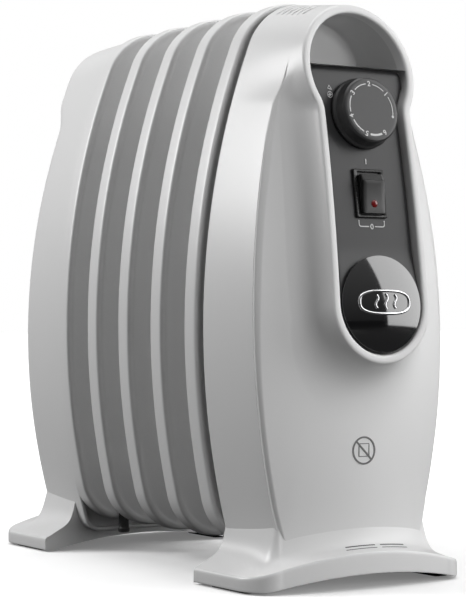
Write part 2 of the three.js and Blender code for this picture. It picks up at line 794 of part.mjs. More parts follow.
function addThermostat() {
  const frame = panelFrame(dialHeight);
  radiator.add(frame);
  const bore = spindleRadius + gap;
  const boreTop = dialLift + 7;
  const knob = turned([
    [bore, dialLift],
    [dialSkirtRadius, dialLift],
    [dialSkirtRadius, dialLift + 2.4],
    [dialRadius + 0.4, dialLift + 3.4],
    [dialRadius, dialRise - 1.4],
    [dialRadius - 1.4, dialRise],
    [0, dialRise],
    [0, boreTop],
    [bore, boreTop],
    [bore, dialLift],
  ]);
  addPiece("dial_knob", knob, materials.darkPlastic, frame);
  const spindle = barZ(spindleRadius, 0, 0, -spindleDepth, boreTop - gap, 12);
  addPiece("thermostat_spindle", spindle, materials.brass, frame);

  const seat = -panelThickness - gap;
  const body = boxSolid(-13, 13, -14, 14, -thermostatDepth, seat)
    .add(barZ(collarRadius, 0, 0, seat - 1, 0, 16))
    .subtract(barZ(holeRadius(spindleRadius, 16), 0, 0, -thermostatDepth - 1, 1, 16));
  addPiece("thermostat_body", body, materials.ceramic, frame);

  const plungerTop = -spindleDepth - plungerTravel;
  const plungerEnd = plungerTop - plungerLength;
  addPiece("thermostat_plunger", barZ(plungerRadius, 0, 0, plungerEnd, plungerTop, 10), materials.ceramic, frame);
  const bladeTop = plungerEnd - plungerTravel;
  const blade = boxSolid(-4, 4, -13, 13, bladeTop - 0.8, bladeTop).add(
    boxSolid(-4, 4, 9, 13, bladeTop - 0.8, -thermostatDepth - gap),
  );
  addPiece("thermostat_blade", blade, materials.brass, frame);
}
addThermostat();

// ---------------------------------------------------------------- rocker switch

function addSwitch() {
  const frame = panelFrame(switchHeight);
  radiator.add(frame);
  const openX = rockerWidth / 2 + looseFit;
  const openY = rockerLength / 2 + looseFit * 2.4;
  const body = boxSolid(-bezelWidth / 2, bezelWidth / 2, -bezelHeight / 2, bezelHeight / 2, gap, bezelRise)
    .add(boxSolid(-bodyWidth / 2, bodyWidth / 2, -bodyHeight / 2, bodyHeight / 2, -switchDepth, 2 * gap))
    .subtract(boxSolid(-openX, openX, -openY, openY, -switchDepth / 2, bezelRise + 1));
  addPiece("switch_body", body, materials.darkPlastic, frame);

  // the rocker rests at off, with its upper end standing out
  const rocker = new THREE.Group();
  rocker.position.z = -0.4;
  rocker.rotation.x = THREE.MathUtils.degToRad(rockerTilt);
  frame.add(rocker);
  const half = rockerLength / 2;
  const side = new THREE.Shape();
  side.moveTo(-half, 4.4);
  side.quadraticCurveTo(0, 2.6, half, 4.4);
  side.quadraticCurveTo(half + 0.6, 0, half - 1.2, -4);
  side.lineTo(3, -7);
  side.lineTo(-3, -7);
  side.lineTo(1.2 - half, -4);
  side.quadraticCurveTo(-half - 0.6, 0, -half, 4.4);
  const paddle = new THREE.ExtrudeGeometry(side, { depth: rockerWidth, bevelEnabled: false, curveSegments: 6 });
  paddle.translate(0, 0, -rockerWidth / 2);
  paddle.rotateY(Math.PI / 2);
  paddle.rotateX(Math.PI / 2);
  const lensY = -rockerLength / 4;
  const pocket = barZ(holeRadius(lensRadius, 12), 0, lensY, 0.5, 10, 12);
  addPiece("switch_rocker", toSolid(paddle).subtract(pocket), materials.darkPlastic, rocker);
  const lens = turned(
    [
      [0, 0.5 + gap],
      [lensRadius, 0.5 + gap],
      [lensRadius, 3.7],
      [lensRadius * 0.6, 4.6],
      [0, 5],
    ],
    12,
  );
  addPiece("pilot_lens", lens.translate([0, lensY, 0]), materials.redLens, rocker);
}
addSwitch();

// ---------------------------------------------------------------- cable gland, clamp, terminals

const mountY = frontBracketY - gap;
const blockHeight = 100;
const blockSize = 12;
const blockDepth = 14;
const blockPitch = 11;
const earthX = 28;
const earthHeight = 152;
const cutoutHeight = 182;
const cutoutRadius = 8;
const cutoutDepth = 7;

function addSmallParts() {
  const floor = footEndTop + footArmRise - wall;
  const gland = barZ(glandRadius, glandX, glandY, floor - 7, floor + 12)
    .add(barZ(glandRadius + 2.5, glandX, glandY, floor - 4, floor - gap))
    .subtract(barZ(glandRadius - 3.4, glandX, glandY, 0, 60, 12));
  addPiece("cable_gland", gland, materials.blackRubber);

  const clamp = boxSolid(20, 38, mountY - 9, mountY, 74, 84).subtract(barZ(3.6, 29, mountY, 60, 100, 12));
  addPiece("cord_clamp", clamp, materials.darkPlastic);

  const blockTop = blockHeight + blockSize;
  let block = boxSolid(-18, 18, mountY - blockDepth, mountY, blockHeight, blockTop);
  for (const x of [-blockPitch, 0, blockPitch]) {
    block = block.subtract(barZ(2.2, x, mountY - blockDepth / 2, blockHeight - 1, blockTop + 1, 10));
  }
  addPiece("terminal_block", block, materials.ceramic);

  addPiece("earth_screw", barY(4, earthX, earthHeight, mountY - 3, mountY, 6), materials.brass);
  addPiece("thermal_cutout", barY(cutoutRadius, 0, cutoutHeight, mountY - cutoutDepth, mountY, 16), materials.ceramic);
  const clipFront = mountY - cutoutDepth - gap;
  const z0 = cutoutHeight - 4;
  const z1 = cutoutHeight + 4;
  const clip = boxSolid(-14, 14, clipFront - 1, clipFront, z0, z1)
    .add(boxSolid(-14, -13, clipFront - 1, mountY, z0, z1))
    .add(boxSolid(13, 14, clipFront - 1, mountY, z0, z1));
  addPiece("cutout_clip", clip, materials.steel);
}
addSmallParts();

// ---------------------------------------------------------------- wires

const wireRadius = 1.1;
const wireY = mountY - blockDepth / 2;
const cutoutY = mountY - cutoutDepth / 2;
const blockUp = (x, rise) => at(x, wireY, blockHeight + blockSize + rise);
const rearOf = (z, x, y, depth) => panelPoint(z, x, y, depth + wireRadius / 2);
const wires = [
  {
    name: "wire_live",
    material: materials.brownWire,
    points: [
      blockUp(-blockPitch, -5),
      blockUp(-blockPitch, 8),
      at(-26, wireY - 16, 170),
      rearOf(switchHeight, -6, -12, switchDepth + 14),
      rearOf(switchHeight, -6, -4, switchDepth + 8),
      rearOf(switchHeight, -6, -4, switchDepth),
    ],
  },
  {
    name: "wire_switched",
    material: materials.brownWire,
    points: [
      rearOf(switchHeight, 7, 4, switchDepth),
      rearOf(switchHeight, 7, 4, switchDepth + 10),
      rearOf(dialHeight, 8.5, -14, thermostatDepth + 14),
      rearOf(dialHeight, 8.5, -8, thermostatDepth + 9),
      rearOf(dialHeight, 8.5, -8, thermostatDepth),
    ],
  },
  {
    name: "wire_cutout",
    material: materials.brownWire,
    points: [
      rearOf(dialHeight, -8.5, -8, thermostatDepth),
      rearOf(dialHeight, -8.5, -8, thermostatDepth + 10),
      at(-8.5, cutoutY - 14, 240),
      at(0, cutoutY, cutoutHeight + cutoutRadius + 12),
      at(0, cutoutY, cutoutHeight + cutoutRadius + wireRadius / 2),
    ],
  },
  {
    name: "wire_element",
    material: materials.brownWire,
    points: [
      at(0, cutoutY, cutoutHeight - cutoutRadius - wireRadius / 2),
      at(0, cutoutY, cutoutHeight - cutoutRadius - 10),
      at(-27, cutoutY - 6, 140),
      at(-27, cutoutY - 8, 96),
      at(-rodSpread, terminalFrontY - 12, lowerHubHeight + 4),
      at(-rodSpread, terminalFrontY - wireRadius / 2, lowerHubHeight),
    ],
  },
  {
    name: "wire_neutral",
    material: materials.blueWire,
    points: [
      at(0, wireY, blockHeight + 5),
      at(0, wireY, blockHeight - 6),
      at(rodSpread, terminalFrontY - 14, lowerHubHeight + 6),
      at(rodSpread, terminalFrontY - wireRadius / 2, lowerHubHeight),
    ],
  },
  {
    name: "wire_earth",
    material: materials.greenWire,
    points: [
      blockUp(blockPitch, -5),
      blockUp(blockPitch, 8),
      at(earthX, mountY - 14, earthHeight - 8),
      at(earthX, mountY - 3 - wireRadius / 2, earthHeight),
    ],
  },
];
for (const { name, material, points } of wires) {
  addPiece(name, tube(points, wireRadius, 3, 12), material);
}

// ---------------------------------------------------------------- place on the floor

radiator.updateMatrixWorld(true);
const bounds = new THREE.Box3().setFromObject(radiator, true);
radiator.position.set(0, -(bounds.min.y + bounds.max.y) / 2, -bounds.min.z);

export default radiator;
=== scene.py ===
"""Looks of a small oil filled radiator heater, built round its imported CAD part.

Lengths are written in millimetres and turned into metres where meshes are made.
Y is counted from the rear edge of the foremost fin, like in the part's source.
"""

import math

import bpy
import numpy as np
from mathutils import Matrix, Vector


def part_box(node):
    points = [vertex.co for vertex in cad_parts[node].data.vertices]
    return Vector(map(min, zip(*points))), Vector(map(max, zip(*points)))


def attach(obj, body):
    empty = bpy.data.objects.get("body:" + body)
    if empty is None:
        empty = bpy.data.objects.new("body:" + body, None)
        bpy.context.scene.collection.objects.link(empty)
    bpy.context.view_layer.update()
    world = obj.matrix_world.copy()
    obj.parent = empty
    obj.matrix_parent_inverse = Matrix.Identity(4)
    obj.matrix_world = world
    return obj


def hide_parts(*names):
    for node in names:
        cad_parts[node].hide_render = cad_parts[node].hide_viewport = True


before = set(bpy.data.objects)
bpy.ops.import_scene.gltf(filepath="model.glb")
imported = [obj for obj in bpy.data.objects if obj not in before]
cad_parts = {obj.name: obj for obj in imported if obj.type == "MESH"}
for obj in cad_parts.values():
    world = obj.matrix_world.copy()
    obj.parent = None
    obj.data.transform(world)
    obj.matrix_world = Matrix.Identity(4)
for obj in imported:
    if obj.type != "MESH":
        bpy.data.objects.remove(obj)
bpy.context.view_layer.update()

MM = 0.001
ORIGIN_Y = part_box("fin_front_sheet_1")[1][1] / MM

# sizes shared by several pieces
FIN_HALF, FIN_MID, SIDE_R, TOP_R = 76.4, 160.0, 486.0, 45.0
FIN_BOTTOM, FIN_CORNER = 22.0, 36.0
FIN_COUNT, PITCH, DEPTH = 5, 42.0, 12.5
HUB_TOP, HUB_LOW = 298.0, 64.0
WEB_LOW, WEB_HIGH = 62.0, 322.0
FRONT_SEAM, REAR_SEAM = -18.6, 168.6
COVER_INSET, COVER_BOTTOM, COVER_CORNER = 2.0, 12.0, 14.0
CREASE_INSET, FRONT_CROWN = 2.4, 12.0
SIDE_C = SIDE_R - FIN_HALF
TOP_C = FIN_MID + math.sqrt((SIDE_R - TOP_R) ** 2 - SIDE_C**2)
HEAD_Z, HEAD_R, NECK, NECK_R = 318.0, 36.5, 29.7, 22.0
LOW_Z, LOW_R = 174.0, 31.0
FACE_Z, FACE_Y, FACE_R = 60.0, -111.5, 1158.0
RIM_WIDTH = 5.6
PANEL_TOP, PANEL_BACK = 322.0, 2.2
DOME_R, DOME_FOOT, DOME_RISE = 29.5, 1.3, 4.2

# feet: half width and height of the outer edge, and of the root on the cover
FOOT_HALF, FOOT_END, EDGE_RISE = 81.1, 9.6, 13.0
ROOT_HALF, ROOT_Z, ROOT_RISE, ROOT_SPAN = 58.2, 31.0, 6.0, 62.0
FRONT_ROOT, FRONT_EDGE = (55.0, 67.0), (67.0, 78.8)
REAR_ROOT, REAR_EDGE = (57.0, 68.6), (76.0, 85.8)
SOFT_FALL, HARD_FALL = (0.46, 10, 0.54), (0.68, 7, 0.32)

CAMERA_SPOT, CAMERA_LENS = (-741.3, -1080.0, 170.0), 120.66


# ------------------------------------------------------------------ small maths
def step(a, b, v):
    """Smooth 0 to 1 as v goes from a to b."""
    t = np.clip((np.asarray(v, float) - a) / (b - a), 0, 1)
    return t * t * (3 - 2 * t)


def mix(a, b, t):
    """a at t 0, b at t 1."""
    return a + (b - a) * t


def face_y(z):
    """Y of the rim's front face: an arc of radius 1158 standing at height 60."""
    return FACE_Y + (z - FACE_Z) ** 2 / (2 * FACE_R)


def panel_y(z):
    """Y of the panel: 2.2 behind the rim at the badge, 5.6 behind it from the switch up."""
    return face_y(z) + PANEL_BACK + 3.4 * step(178, 210, z)


def lean(z):
    """How far the front face leans back at height z, in radians."""
    return math.atan((z - FACE_Z) / FACE_R)


def arc(cx, cz, r, a0, a1, n=120):
    """n + 1 points on a circle between two angles, as (x, z) rows."""
    a = np.linspace(a0, a1, n + 1)
    return np.stack([cx + r * np.cos(a), cz + r * np.sin(a)], 1)


def along(points, fractions):
    """Points at the given fractions of a polyline's length."""
    d = np.r_[0, np.cumsum(np.linalg.norm(np.diff(points, axis=0), axis=1))]
    s = np.asarray(fractions) * d[-1]
    return np.stack([np.interp(s, d, points[:, k]) for k in range(points.shape[1])], 1)


def half_body(inset, bottom, corner):
    """Right half of the fin outline at an inset: top arc, side arc, corner arc, level bottom."""
    cz = bottom + corner
    reach = math.sqrt((SIDE_R - corner) ** 2 - (FIN_MID - cz) ** 2)
    up = math.atan2(TOP_C - FIN_MID, SIDE_C)
    low = math.atan2(cz - FIN_MID, reach)
    rows = [
        arc(0, TOP_C, TOP_R - inset, math.pi / 2, up),
        arc(-SIDE_C, FIN_MID, SIDE_R - inset, up, low, 400),
        arc(reach - SIDE_C, cz, corner - inset, low, -math.pi / 2, 60),
        np.array([[0.0, bottom + inset]]),
    ]
    return np.concatenate(rows)


def half_keyhole(offset):
    """Right half of the keyhole at an offset: head circle, neck fillet, straight side, lower arc."""
    fx = NECK + NECK_R
    drop = math.sqrt((HEAD_R + NECK_R) ** 2 - fx**2)
    turn = math.atan2(drop, fx)
    rows = [
        arc(0, HEAD_Z, HEAD_R + offset, math.pi / 2, -turn, 200),
        arc(fx, HEAD_Z - drop, NECK_R - offset, math.pi - turn, math.pi, 60),
        np.array([[LOW_R + offset, LOW_Z]]),
        arc(0, LOW_Z, LOW_R + offset, 0, -math.pi / 2, 160),
    ]
    return np.concatenate(rows)


def ring(half):
    """A closed outline from its right half, which runs from the top to the bottom centre."""
    left = half[-2:0:-1] * np.array([-1.0, 1.0])
    return np.concatenate([half, left])


def placed(points, place):
    """Points of a grid of any shape, moved from a local frame by a 4x4."""
    m = np.array(place)
    return (points.reshape(-1, 3) @ m[:3, :3].T + m[:3, 3]).reshape(points.shape)


def side_normals(p, closed):
    """Unit normals of a 2-D line, to the left of its direction."""
    t = np.roll(p, -1, 0) - np.roll(p, 1, 0) if closed else np.gradient(p, axis=0)
    t /= np.linalg.norm(t, axis=1)[:, None]
    return np.stack([-t[:, 1], t[:, 0]], 1)


def smooth_line(values, rounds=6, width=9):
    """values averaged with their neighbours several times, the ends held."""
    v = np.asarray(values, float)
    k = np.ones(width) / width
    h = width // 2
    for _ in range(rounds):
        padded = np.r_[2 * v[0] - v[h:0:-1], v, 2 * v[-1] - v[-2 : -h - 2 : -1]]
        v = np.convolve(padded, k, "valid")
    return v


# ------------------------------------------------------------------ mesh makers
def mesh_piece(name, verts, faces, material, sharp=40, merge=0.0):
    """A mesh object at the origin from points in millimetres and a list of face arrays."""
    v = np.asarray(verts, float).copy()
    v[:, 1] += ORIGIN_Y
    if merge:
        key = np.round(v / merge).astype(np.int64)
        _, first, inverse = np.unique(key, axis=0, return_index=True, return_inverse=True)
        v = v[first]
        inverse = inverse.reshape(-1)
        faces = [inverse[f] for f in faces]
    rows = []
    for block in faces:
        nxt = np.roll(block, -1, axis=1)
        if block.shape[1] == 4:
            bad = (block == nxt).sum(1)
            rows += block[bad == 0].tolist()
            for f in block[bad == 1].tolist():
                rows.append([c for i, c in enumerate(f) if c != f[i - 1]])
        else:
            rows += block[(block != nxt).all(1)].tolist()
    rows = [f for f in rows if len(set(f)) == len(f) and len(f) > 2]
    me = bpy.data.meshes.new(name)
    me.from_pydata((v * MM).tolist(), [], rows)
    me.update()
    me.shade_smooth()
    me.set_sharp_from_angle(angle=math.radians(sharp))
    me.materials.append(material)
    ob = bpy.data.objects.new(name, me)
    bpy.context.scene.collection.objects.link(ob)
    return ob


def grid_faces(rows, cols, closed, start=0, flip=False):
    """Quads between neighbouring rows of a grid; closed joins the last column to the first."""
    r = np.arange(rows - 1)[:, None]
    c = np.arange(cols if closed else cols - 1)[None, :]
    n = (c + 1) % cols
    q = np.stack([r * cols + c, r * cols + n, (r + 1) * cols + n, (r + 1) * cols + c], -1)
    q = q.reshape(-1, 4) + start
    return q[:, ::-1] if flip else q


def spline(rings, per=5):
    """Quadratic B-spline through control rings: each row blends three neighbouring rings."""
    p = np.asarray(rings, float)
    p = np.concatenate([2 * p[:1] - p[1:2], p, 2 * p[-1:] - p[-2:-1]])
    out = []
    for j in range(1, len(p) - 1):
        first, last = 0.5 * (j == 1), 1.0 - 0.5 * (j == len(p) - 2)
        t = np.linspace(first, last, per, endpoint=False)[:, None, None]
        out.append(0.5 * (1 - t) ** 2 * p[j - 1] + (0.5 + t * (1 - t)) * p[j] + 0.5 * t**2 * p[j + 1])
    out.append(p[-2][None])
    return np.concatenate(out)


def loft(name, grid, material, flip=False, sharp=40, closed=True, caps=(False, False)):
    """A surface from a grid of rows of points; a cap closes an end row by level strips."""
    rows, cols = grid.shape[:2]
    faces = [grid_faces(rows, cols, closed, flip=flip)]
    for cap, row, turn in ((caps[0], 0, flip), (caps[1], rows - 1, not flip)):
        if cap:
            i = np.arange(cols // 2)
            q = np.stack([i, i + 1, cols - i - 1, (cols - i) % cols], 1) + row * cols
            faces.append(q if turn else q[:, ::-1])
    return mesh_piece(name, grid.reshape(-1, 3), faces, material, sharp, merge=1e-3)


def turned(profile, place, name, material, steps=96, sharp=35):
    """A profile of (radius, height) turned about a local axis and put in place by a 4x4."""
    p = np.array(profile, float)
    a = np.linspace(0, 2 * math.pi, steps, endpoint=False)
    x = p[:, 0][:, None] * np.cos(a)
    y = p[:, 0][:, None] * np.sin(a)
    z = np.repeat(p[:, 1][:, None], steps, 1)
    g = placed(np.stack([x, y, z], -1).reshape(-1, 3), place)
    return mesh_piece(name, g, [grid_faces(len(p), steps, True)], material, sharp, merge=1e-3)


def join(name, *objs):
    """Several mesh objects at the origin made into one."""
    target, chosen = objs[0], list(objs)
    with bpy.context.temp_override(
        active_object=target, object=target, selected_objects=chosen, selected_editable_objects=chosen
    ):
        bpy.ops.object.join()
    target.name = name
    target.data.name = name
    return target


def rounded(profile, radius, n=5):
    """A polyline profile with its inner corners cut to arcs of about the given radius."""
    p = np.array(profile, float)
    out = [p[0]]
    for a, b, c in zip(p[:-2], p[1:-1], p[2:]):
        la, lc = np.linalg.norm(a - b), np.linalg.norm(c - b)
        d = min(radius, la * 0.49, lc * 0.49)
        s, e = b + (a - b) / la * d, b + (c - b) / lc * d
        for t in np.linspace(0, 1, n):
            out.append((1 - t) ** 2 * s + 2 * t * (1 - t) * b + t * t * e)
    out.append(p[-1])
    return np.array(out)


def panel_frame(z, depth=0.0):
    """4x4 in millimetres of a spot on the panel: X right, Y up the panel, Z out of it."""
    a = lean(z)
    out = Vector((0, -math.cos(a), math.sin(a)))
    up = Vector((0, math.sin(a), math.cos(a)))
    m = Matrix.Identity(4)
    for k in range(3):
        m[k][0], m[k][1], m[k][2] = (1, 0, 0)[k], up[k], out[k]
    spot = Vector((0, face_y(z) + PANEL_BACK, z)) - out * depth
    m[0][3], m[1][3], m[2][3] = spot
    return m


def flat_ribbon(points, width, height, place, name, material, closed=False):
    """A flat printed line of the given width along 2-D points, lifted by height off a local plane."""
    p = np.array(points, float)
    n = side_normals(p, closed)
    a, b = p + n * width / 2, p - n * width / 2
    low = height - 0.12
    rows = [(a, low), (a, height), (b, height), (b, low)]
    g = placed(np.stack([np.c_[q, np.full(len(q), h)] for q, h in rows]).reshape(-1, 3), place)
    faces = [grid_faces(4, len(p), closed, flip=True)]
    if not closed:
        k = len(p)
        faces.append(np.array([[0, k, 2 * k, 3 * k], [4 * k - 1, 3 * k - 1, 2 * k - 1, k - 1]]))
    return mesh_piece(name, g, faces, material, 30)


def letter(text, size, place, name, material, turn=0.0, at=(0.0, 0.0), height=0.1):
    """Printed characters: a text shape made mesh, turned, then put on a local plane."""
    curve = bpy.data.curves.new(name, "FONT")
    curve.body = text
    curve.size = size
    curve.align_x = "CENTER"
    curve.align_y = "CENTER"
    curve.extrude = 0.05
    curve.offset = 0.09
    holder = bpy.data.objects.new(name + "_src", curve)
    bpy.context.scene.collection.objects.link(holder)
    bpy.context.view_layer.update()
    depsgraph = bpy.context.evaluated_depsgraph_get()
    me = bpy.data.meshes.new_from_object(holder.evaluated_get(depsgraph))
    bpy.data.objects.remove(holder)
    local = Matrix.Translation((at[0], at[1], height)) @ Matrix.Rotation(turn, 4, "Z")
    me.transform(place @ local)
    me.transform(Matrix.Translation((0, ORIGIN_Y, 0)))
    me.transform(Matrix.Scale(MM, 4))
    me.name = name
    me.materials.clear()
    me.materials.append(material)
    ob = bpy.data.objects.new(name, me)
    bpy.context.scene.collection.objects.link(ob)
    return ob


# ------------------------------------------------------------------ materials
def map_range(tree, source, low, high, to_low, to_high):
    """Result of a Map Range node that takes source from low..high to to_low..to_high."""
    made = tree.nodes.new("ShaderNodeMapRange")
    ends = {"From Min": low, "From Max": high, "To Min": to_low, "To Max": to_high}
    for socket, value in ends.items():
        made.inputs[socket].default_value = value
    tree.links.new(source, made.inputs["Value"])
    return made.outputs["Result"]


def surface_material(
    name, colour, rough, metal=0.0, grain=600.0, bump=0.02, vary=0.03, coat=0.0, glow=None
):
    """Principled surface whose colour, roughness and relief follow noise in object space."""
    m = bpy.data.materials.new(name)
    m.use_nodes = True
    nt = m.node_tree
    bsdf = nt.nodes["Principled BSDF"]
    coords = nt.nodes.new("ShaderNodeTexCoord")
    broad = nt.nodes.new("ShaderNodeTexNoise")
    broad.inputs["Scale"].default_value = 9.0
    broad.inputs["Detail"].default_value = 4.0
    fine = nt.nodes.new("ShaderNodeTexNoise")
    fine.inputs["Scale"].default_value = grain
    fine.inputs["Detail"].default_value = 3.0
    nt.links.new(coords.outputs["Object"], broad.inputs["Vector"])
    nt.links.new(coords.outputs["Object"], fine.inputs["Vector"])
    tint = nt.nodes.new("ShaderNodeMixRGB")
    tint.inputs["Color1"].default_value = (*[c * (1 - vary) for c in colour], 1)
    tint.inputs["Color2"].default_value = (*[min(c * (1 + vary), 1) for c in colour], 1)
    nt.links.new(broad.outputs["Fac"], tint.inputs["Fac"])
    nt.links.new(tint.outputs["Color"], bsdf.inputs["Base Color"])
    spread = map_range(nt, fine.outputs["Fac"], 0, 1, max(rough - 0.06, 0.02), min(rough + 0.06, 1.0))
    nt.links.new(spread, bsdf.inputs["Roughness"])
    relief = nt.nodes.new("ShaderNodeBump")
    relief.inputs["Strength"].default_value = bump
    relief.inputs["Distance"].default_value = 0.0004
    nt.links.new(fine.outputs["Fac"], relief.inputs["Height"])
    nt.links.new(relief.outputs["Normal"], bsdf.inputs["Normal"])
    bsdf.inputs["Metallic"].default_value = metal
    bsdf.inputs["Coat Weight"].default_value = coat
    bsdf.inputs["Coat Roughness"].default_value = 0.05
    if glow:
        bsdf.inputs["Emission Color"].default_value = (*glow, 1)
        bsdf.inputs["Emission Strength"].default_value = 0.3
    return m


white = surface_material("white_plastic", (0.72, 0.72, 0.72), 0.34, bump=0.05)
paint = surface_material("fin_paint", (0.72, 0.72, 0.72), 0.34, grain=420.0, bump=0.1)
# Painted shade: the grip tunnel is the same white plastic as the cover, and this darker grey copy stands for
# the shade inside it.
grip_painted_shade = surface_material("grip_painted_shade_plastic", (0.6, 0.6, 0.6), 0.4, bump=0.05)
panel_grey = surface_material("panel_plastic", (0.028, 0.028, 0.029), 0.36, grain=1500.0, bump=0.12)
knob_grey = surface_material("knob_plastic", (0.034, 0.034, 0.035), 0.34, grain=1500.0, bump=0.1)
switch_black = surface_material("switch_plastic", (0.012, 0.012, 0.012), 0.28, grain=1500.0, bump=0.08)
rocker_black = surface_material("rocker_plastic", (0.022, 0.022, 0.022), 0.24, grain=1500.0, bump=0.08)
gloss_black = surface_material("badge_gloss", (0.004, 0.004, 0.0045), 0.08, bump=0.0, coat=1.0)
gloss_black.node_tree.nodes["Principled BSDF"].inputs["Specular IOR Level"].default_value = 1.0
chrome = surface_material("emblem_chrome", (0.78, 0.78, 0.79), 0.14, metal=1.0, bump=0.01)
lens_red = surface_material("lens_red", (0.1, 0.003, 0.004), 0.1, bump=0.0, coat=0.8, glow=(0.12, 0.0, 0.0))
rubber = surface_material("pad_rubber", (0.018, 0.018, 0.018), 0.75, bump=0.2)
tube_black = surface_material("tube_black", (0.02, 0.02, 0.02), 0.45, bump=0.1)
steel = surface_material("zinc_steel", (0.5, 0.51, 0.52), 0.35, metal=1.0, bump=0.08)
dull_steel = surface_material("element_steel", (0.28, 0.27, 0.26), 0.5, metal=1.0, bump=0.15)
brass = surface_material("contact_brass", (0.6, 0.43, 0.15), 0.32, metal=1.0, bump=0.05)
insulator = surface_material("insulator", (0.74, 0.71, 0.62), 0.6, bump=0.15)
print_white = surface_material("print_white", (0.62, 0.62, 0.62), 0.55, bump=0.02)
print_grey = surface_material("print_grey", (0.16, 0.16, 0.16), 0.6, bump=0.02)
# Painted shade: dark strips laid where the foot's slots lie, in place of real grooves.
slot_painted_shade = surface_material("slot_shadow", (0.12, 0.12, 0.12), 0.7, bump=0.02)
brown = surface_material("wire_brown", (0.12, 0.05, 0.025), 0.5)
blue = surface_material("wire_blue", (0.02, 0.07, 0.25), 0.5)
green = surface_material("wire_green", (0.08, 0.25, 0.03), 0.5)

CAD_LOOKS = {
    "plug": steel,
    "bracket": steel,
    "screw": steel,
    "clip": steel,
    "terminal_live": steel,
    "terminal_neutral": steel,
    "heating_element": dull_steel,
    "spindle": brass,
    "blade": brass,
    "earth_screw": brass,
    "thermostat_body": insulator,
    "plunger": insulator,
    "terminal_block": insulator,
    "cutout": insulator,
    "clamp": switch_black,
    "gland": rubber,
    "pad": rubber,
    "wire": brown,
    "wire_neutral": blue,
    "wire_earth": green,
    "hub": paint,
}
for node_name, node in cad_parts.items():
    for word, look in CAD_LOOKS.items():
        if word in node_name:
            node.data.materials.clear()
            node.data.materials.append(look)


# ------------------------------------------------------------------ fins
def fin_rings(steps):
    """Ring maker: (inset, y) gives the fin outline at that inset and depth."""
    u = np.linspace(0, 1, steps + 1)

    def make(inset, y, shrink=0.0):
        q = ring(along(half_body(inset, FIN_BOTTOM, FIN_CORNER), u))
        z = mix(q[:, 1], np.clip(q[:, 1], WEB_LOW, WEB_HIGH), shrink)
        return np.stack([q[:, 0] * (1 - shrink), np.full(len(q), y), z], 1)

    return make


def channel(g, lift):
    """Adds to Y a raised stadium round the two hubs: full inside half width 22, gone at 31."""
    away = np.hypot(g[..., 0], g[..., 2] - np.clip(g[..., 2], HUB_LOW, HUB_TOP))
    g[..., 1] += lift * (1 - step(22, 31, away))
    return g


def fin(i):
    """Front pan of a fin: rolled front edge, straight flange and crisp rear edge, with its web."""
    make = fin_rings(130)
    y = i * PITCH
    f = y - DEPTH
    shares = (0.0, 0.12, 0.25, 0.4, 0.55, 0.7, 0.85, 1.0)
    web = [make(9.0, f + 0.9, s) for s in shares[::-1]]
    edge = [
        make(5.2, f + 0.9),
        make(3.6, f + 0.1),
        make(2.2, f),
        make(0.9, f + 0.35),
        make(0.2, f + 1.3),
        make(0.0, f + 2.6),
        make(0.0, y - 2.0),
        make(0.0, y - 0.5),
        make(0.15, y),
        make(1.05, y),
        make(1.2, y - 0.5),
        make(1.2, f + 5.5),
        make(2.0, f + 2.8),
        make(4.8, f + 1.4),
        make(9.2, f + 1.9),
    ]
    back = [make(9.2, f + 1.9, s) for s in shares[1:]]
    grid = spline(web + edge + back, 4)
    under = (grid[..., 2] < 23.5) & (grid[..., 1] < y - 3)
    crimp = 1.3 * np.abs(((grid[..., 0] / 7.0) % 1) - 0.5) * 2
    grid[..., 2] += np.where(under, crimp * step(y - 3, f, grid[..., 1]), 0)
    pan = loft(f"fin_{i + 1}_pan", grid, paint, flip=True, sharp=50)
    plate = [make(8.0, f + 2.1, s) for s in shares[::-1]]
    plate_back = [make(8.0, f + 3.2, s) for s in shares]
    g = np.concatenate([spline(plate, 3), spline(plate_back, 3)])
    half = len(g) // 2
    g[half:] = channel(g[half:], 4.6)
    sheet = loft(f"fin_{i + 1}_back_sheet", g, paint, flip=True, sharp=50)
    for piece, node in ((pan, "front"), (sheet, "back")):
        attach(piece, "heater")
        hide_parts(f"fin_{node}_sheet_{i + 1}")


for fin_index in range(FIN_COUNT):
    fin(fin_index)

for hub_index in range(FIN_COUNT - 1):
    for label, hub_z in (("upper", HUB_TOP), ("lower", HUB_LOW)):
        start, end = hub_index * PITCH - 4.7, (hub_index + 1) * PITCH - DEPTH - 0.3
        place = Matrix.Translation((0, start, hub_z)) @ Matrix.Rotation(-math.pi / 2, 4, "X")
        wall = [(21.4, 0), (23, 0), (23, end - start), (21.4, end - start), (21.4, 0)]
        piece = turned(wall, place, f"hub_{label}_{hub_index + 1}_tube", paint, 72)
        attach(piece, "heater")
        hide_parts(f"hub_{label}_{hub_index + 1}")


# ------------------------------------------------------------------ matched outlines of the covers
COVER_N = 180
body_half = half_body(COVER_INSET, COVER_BOTTOM, COVER_CORNER)
key_half = half_keyhole(0.0)


def share_at(half, z):
    """Fraction of a half outline's length at which it first comes down to height z."""
    d = np.r_[0, np.cumsum(np.linalg.norm(np.diff(half, axis=0), axis=1))]
    zs = np.minimum.accumulate(half[:, 1])
    return float(np.interp(-z, -zs, d)) / d[-1]


KEY_Z = (352.0, 318.0, 290.0, 250.0, 200.0, 174.0, 158.0, 147.0)
BODY_Z = (366.0, 322.0, 291.0, 250.0, 188.0, 140.0, 92.0, 56.0)
key_marks = [0.0] + [share_at(key_half, z) for z in KEY_Z] + [1.0]
body_marks = [0.0] + [share_at(body_half, z) for z in BODY_Z] + [1.0]
marks = (np.array(key_marks) + np.array(body_marks)) / 2
u_line = np.linspace(0, 1, COVER_N + 1)
KEY_U = smooth_line(np.interp(u_line, marks, key_marks))
BODY_U = smooth_line(np.interp(u_line, marks, body_marks))
KEY_U = (KEY_U - KEY_U[0]) / (KEY_U[-1] - KEY_U[0])
BODY_U = (BODY_U - BODY_U[0]) / (BODY_U[-1] - BODY_U[0])


def body_ring(inset):
    """Cover outline at an extra inset, as (x, z) rows matched to the keyhole's."""
    return ring(along(half_body(COVER_INSET + inset, COVER_BOTTOM, COVER_CORNER), BODY_U))


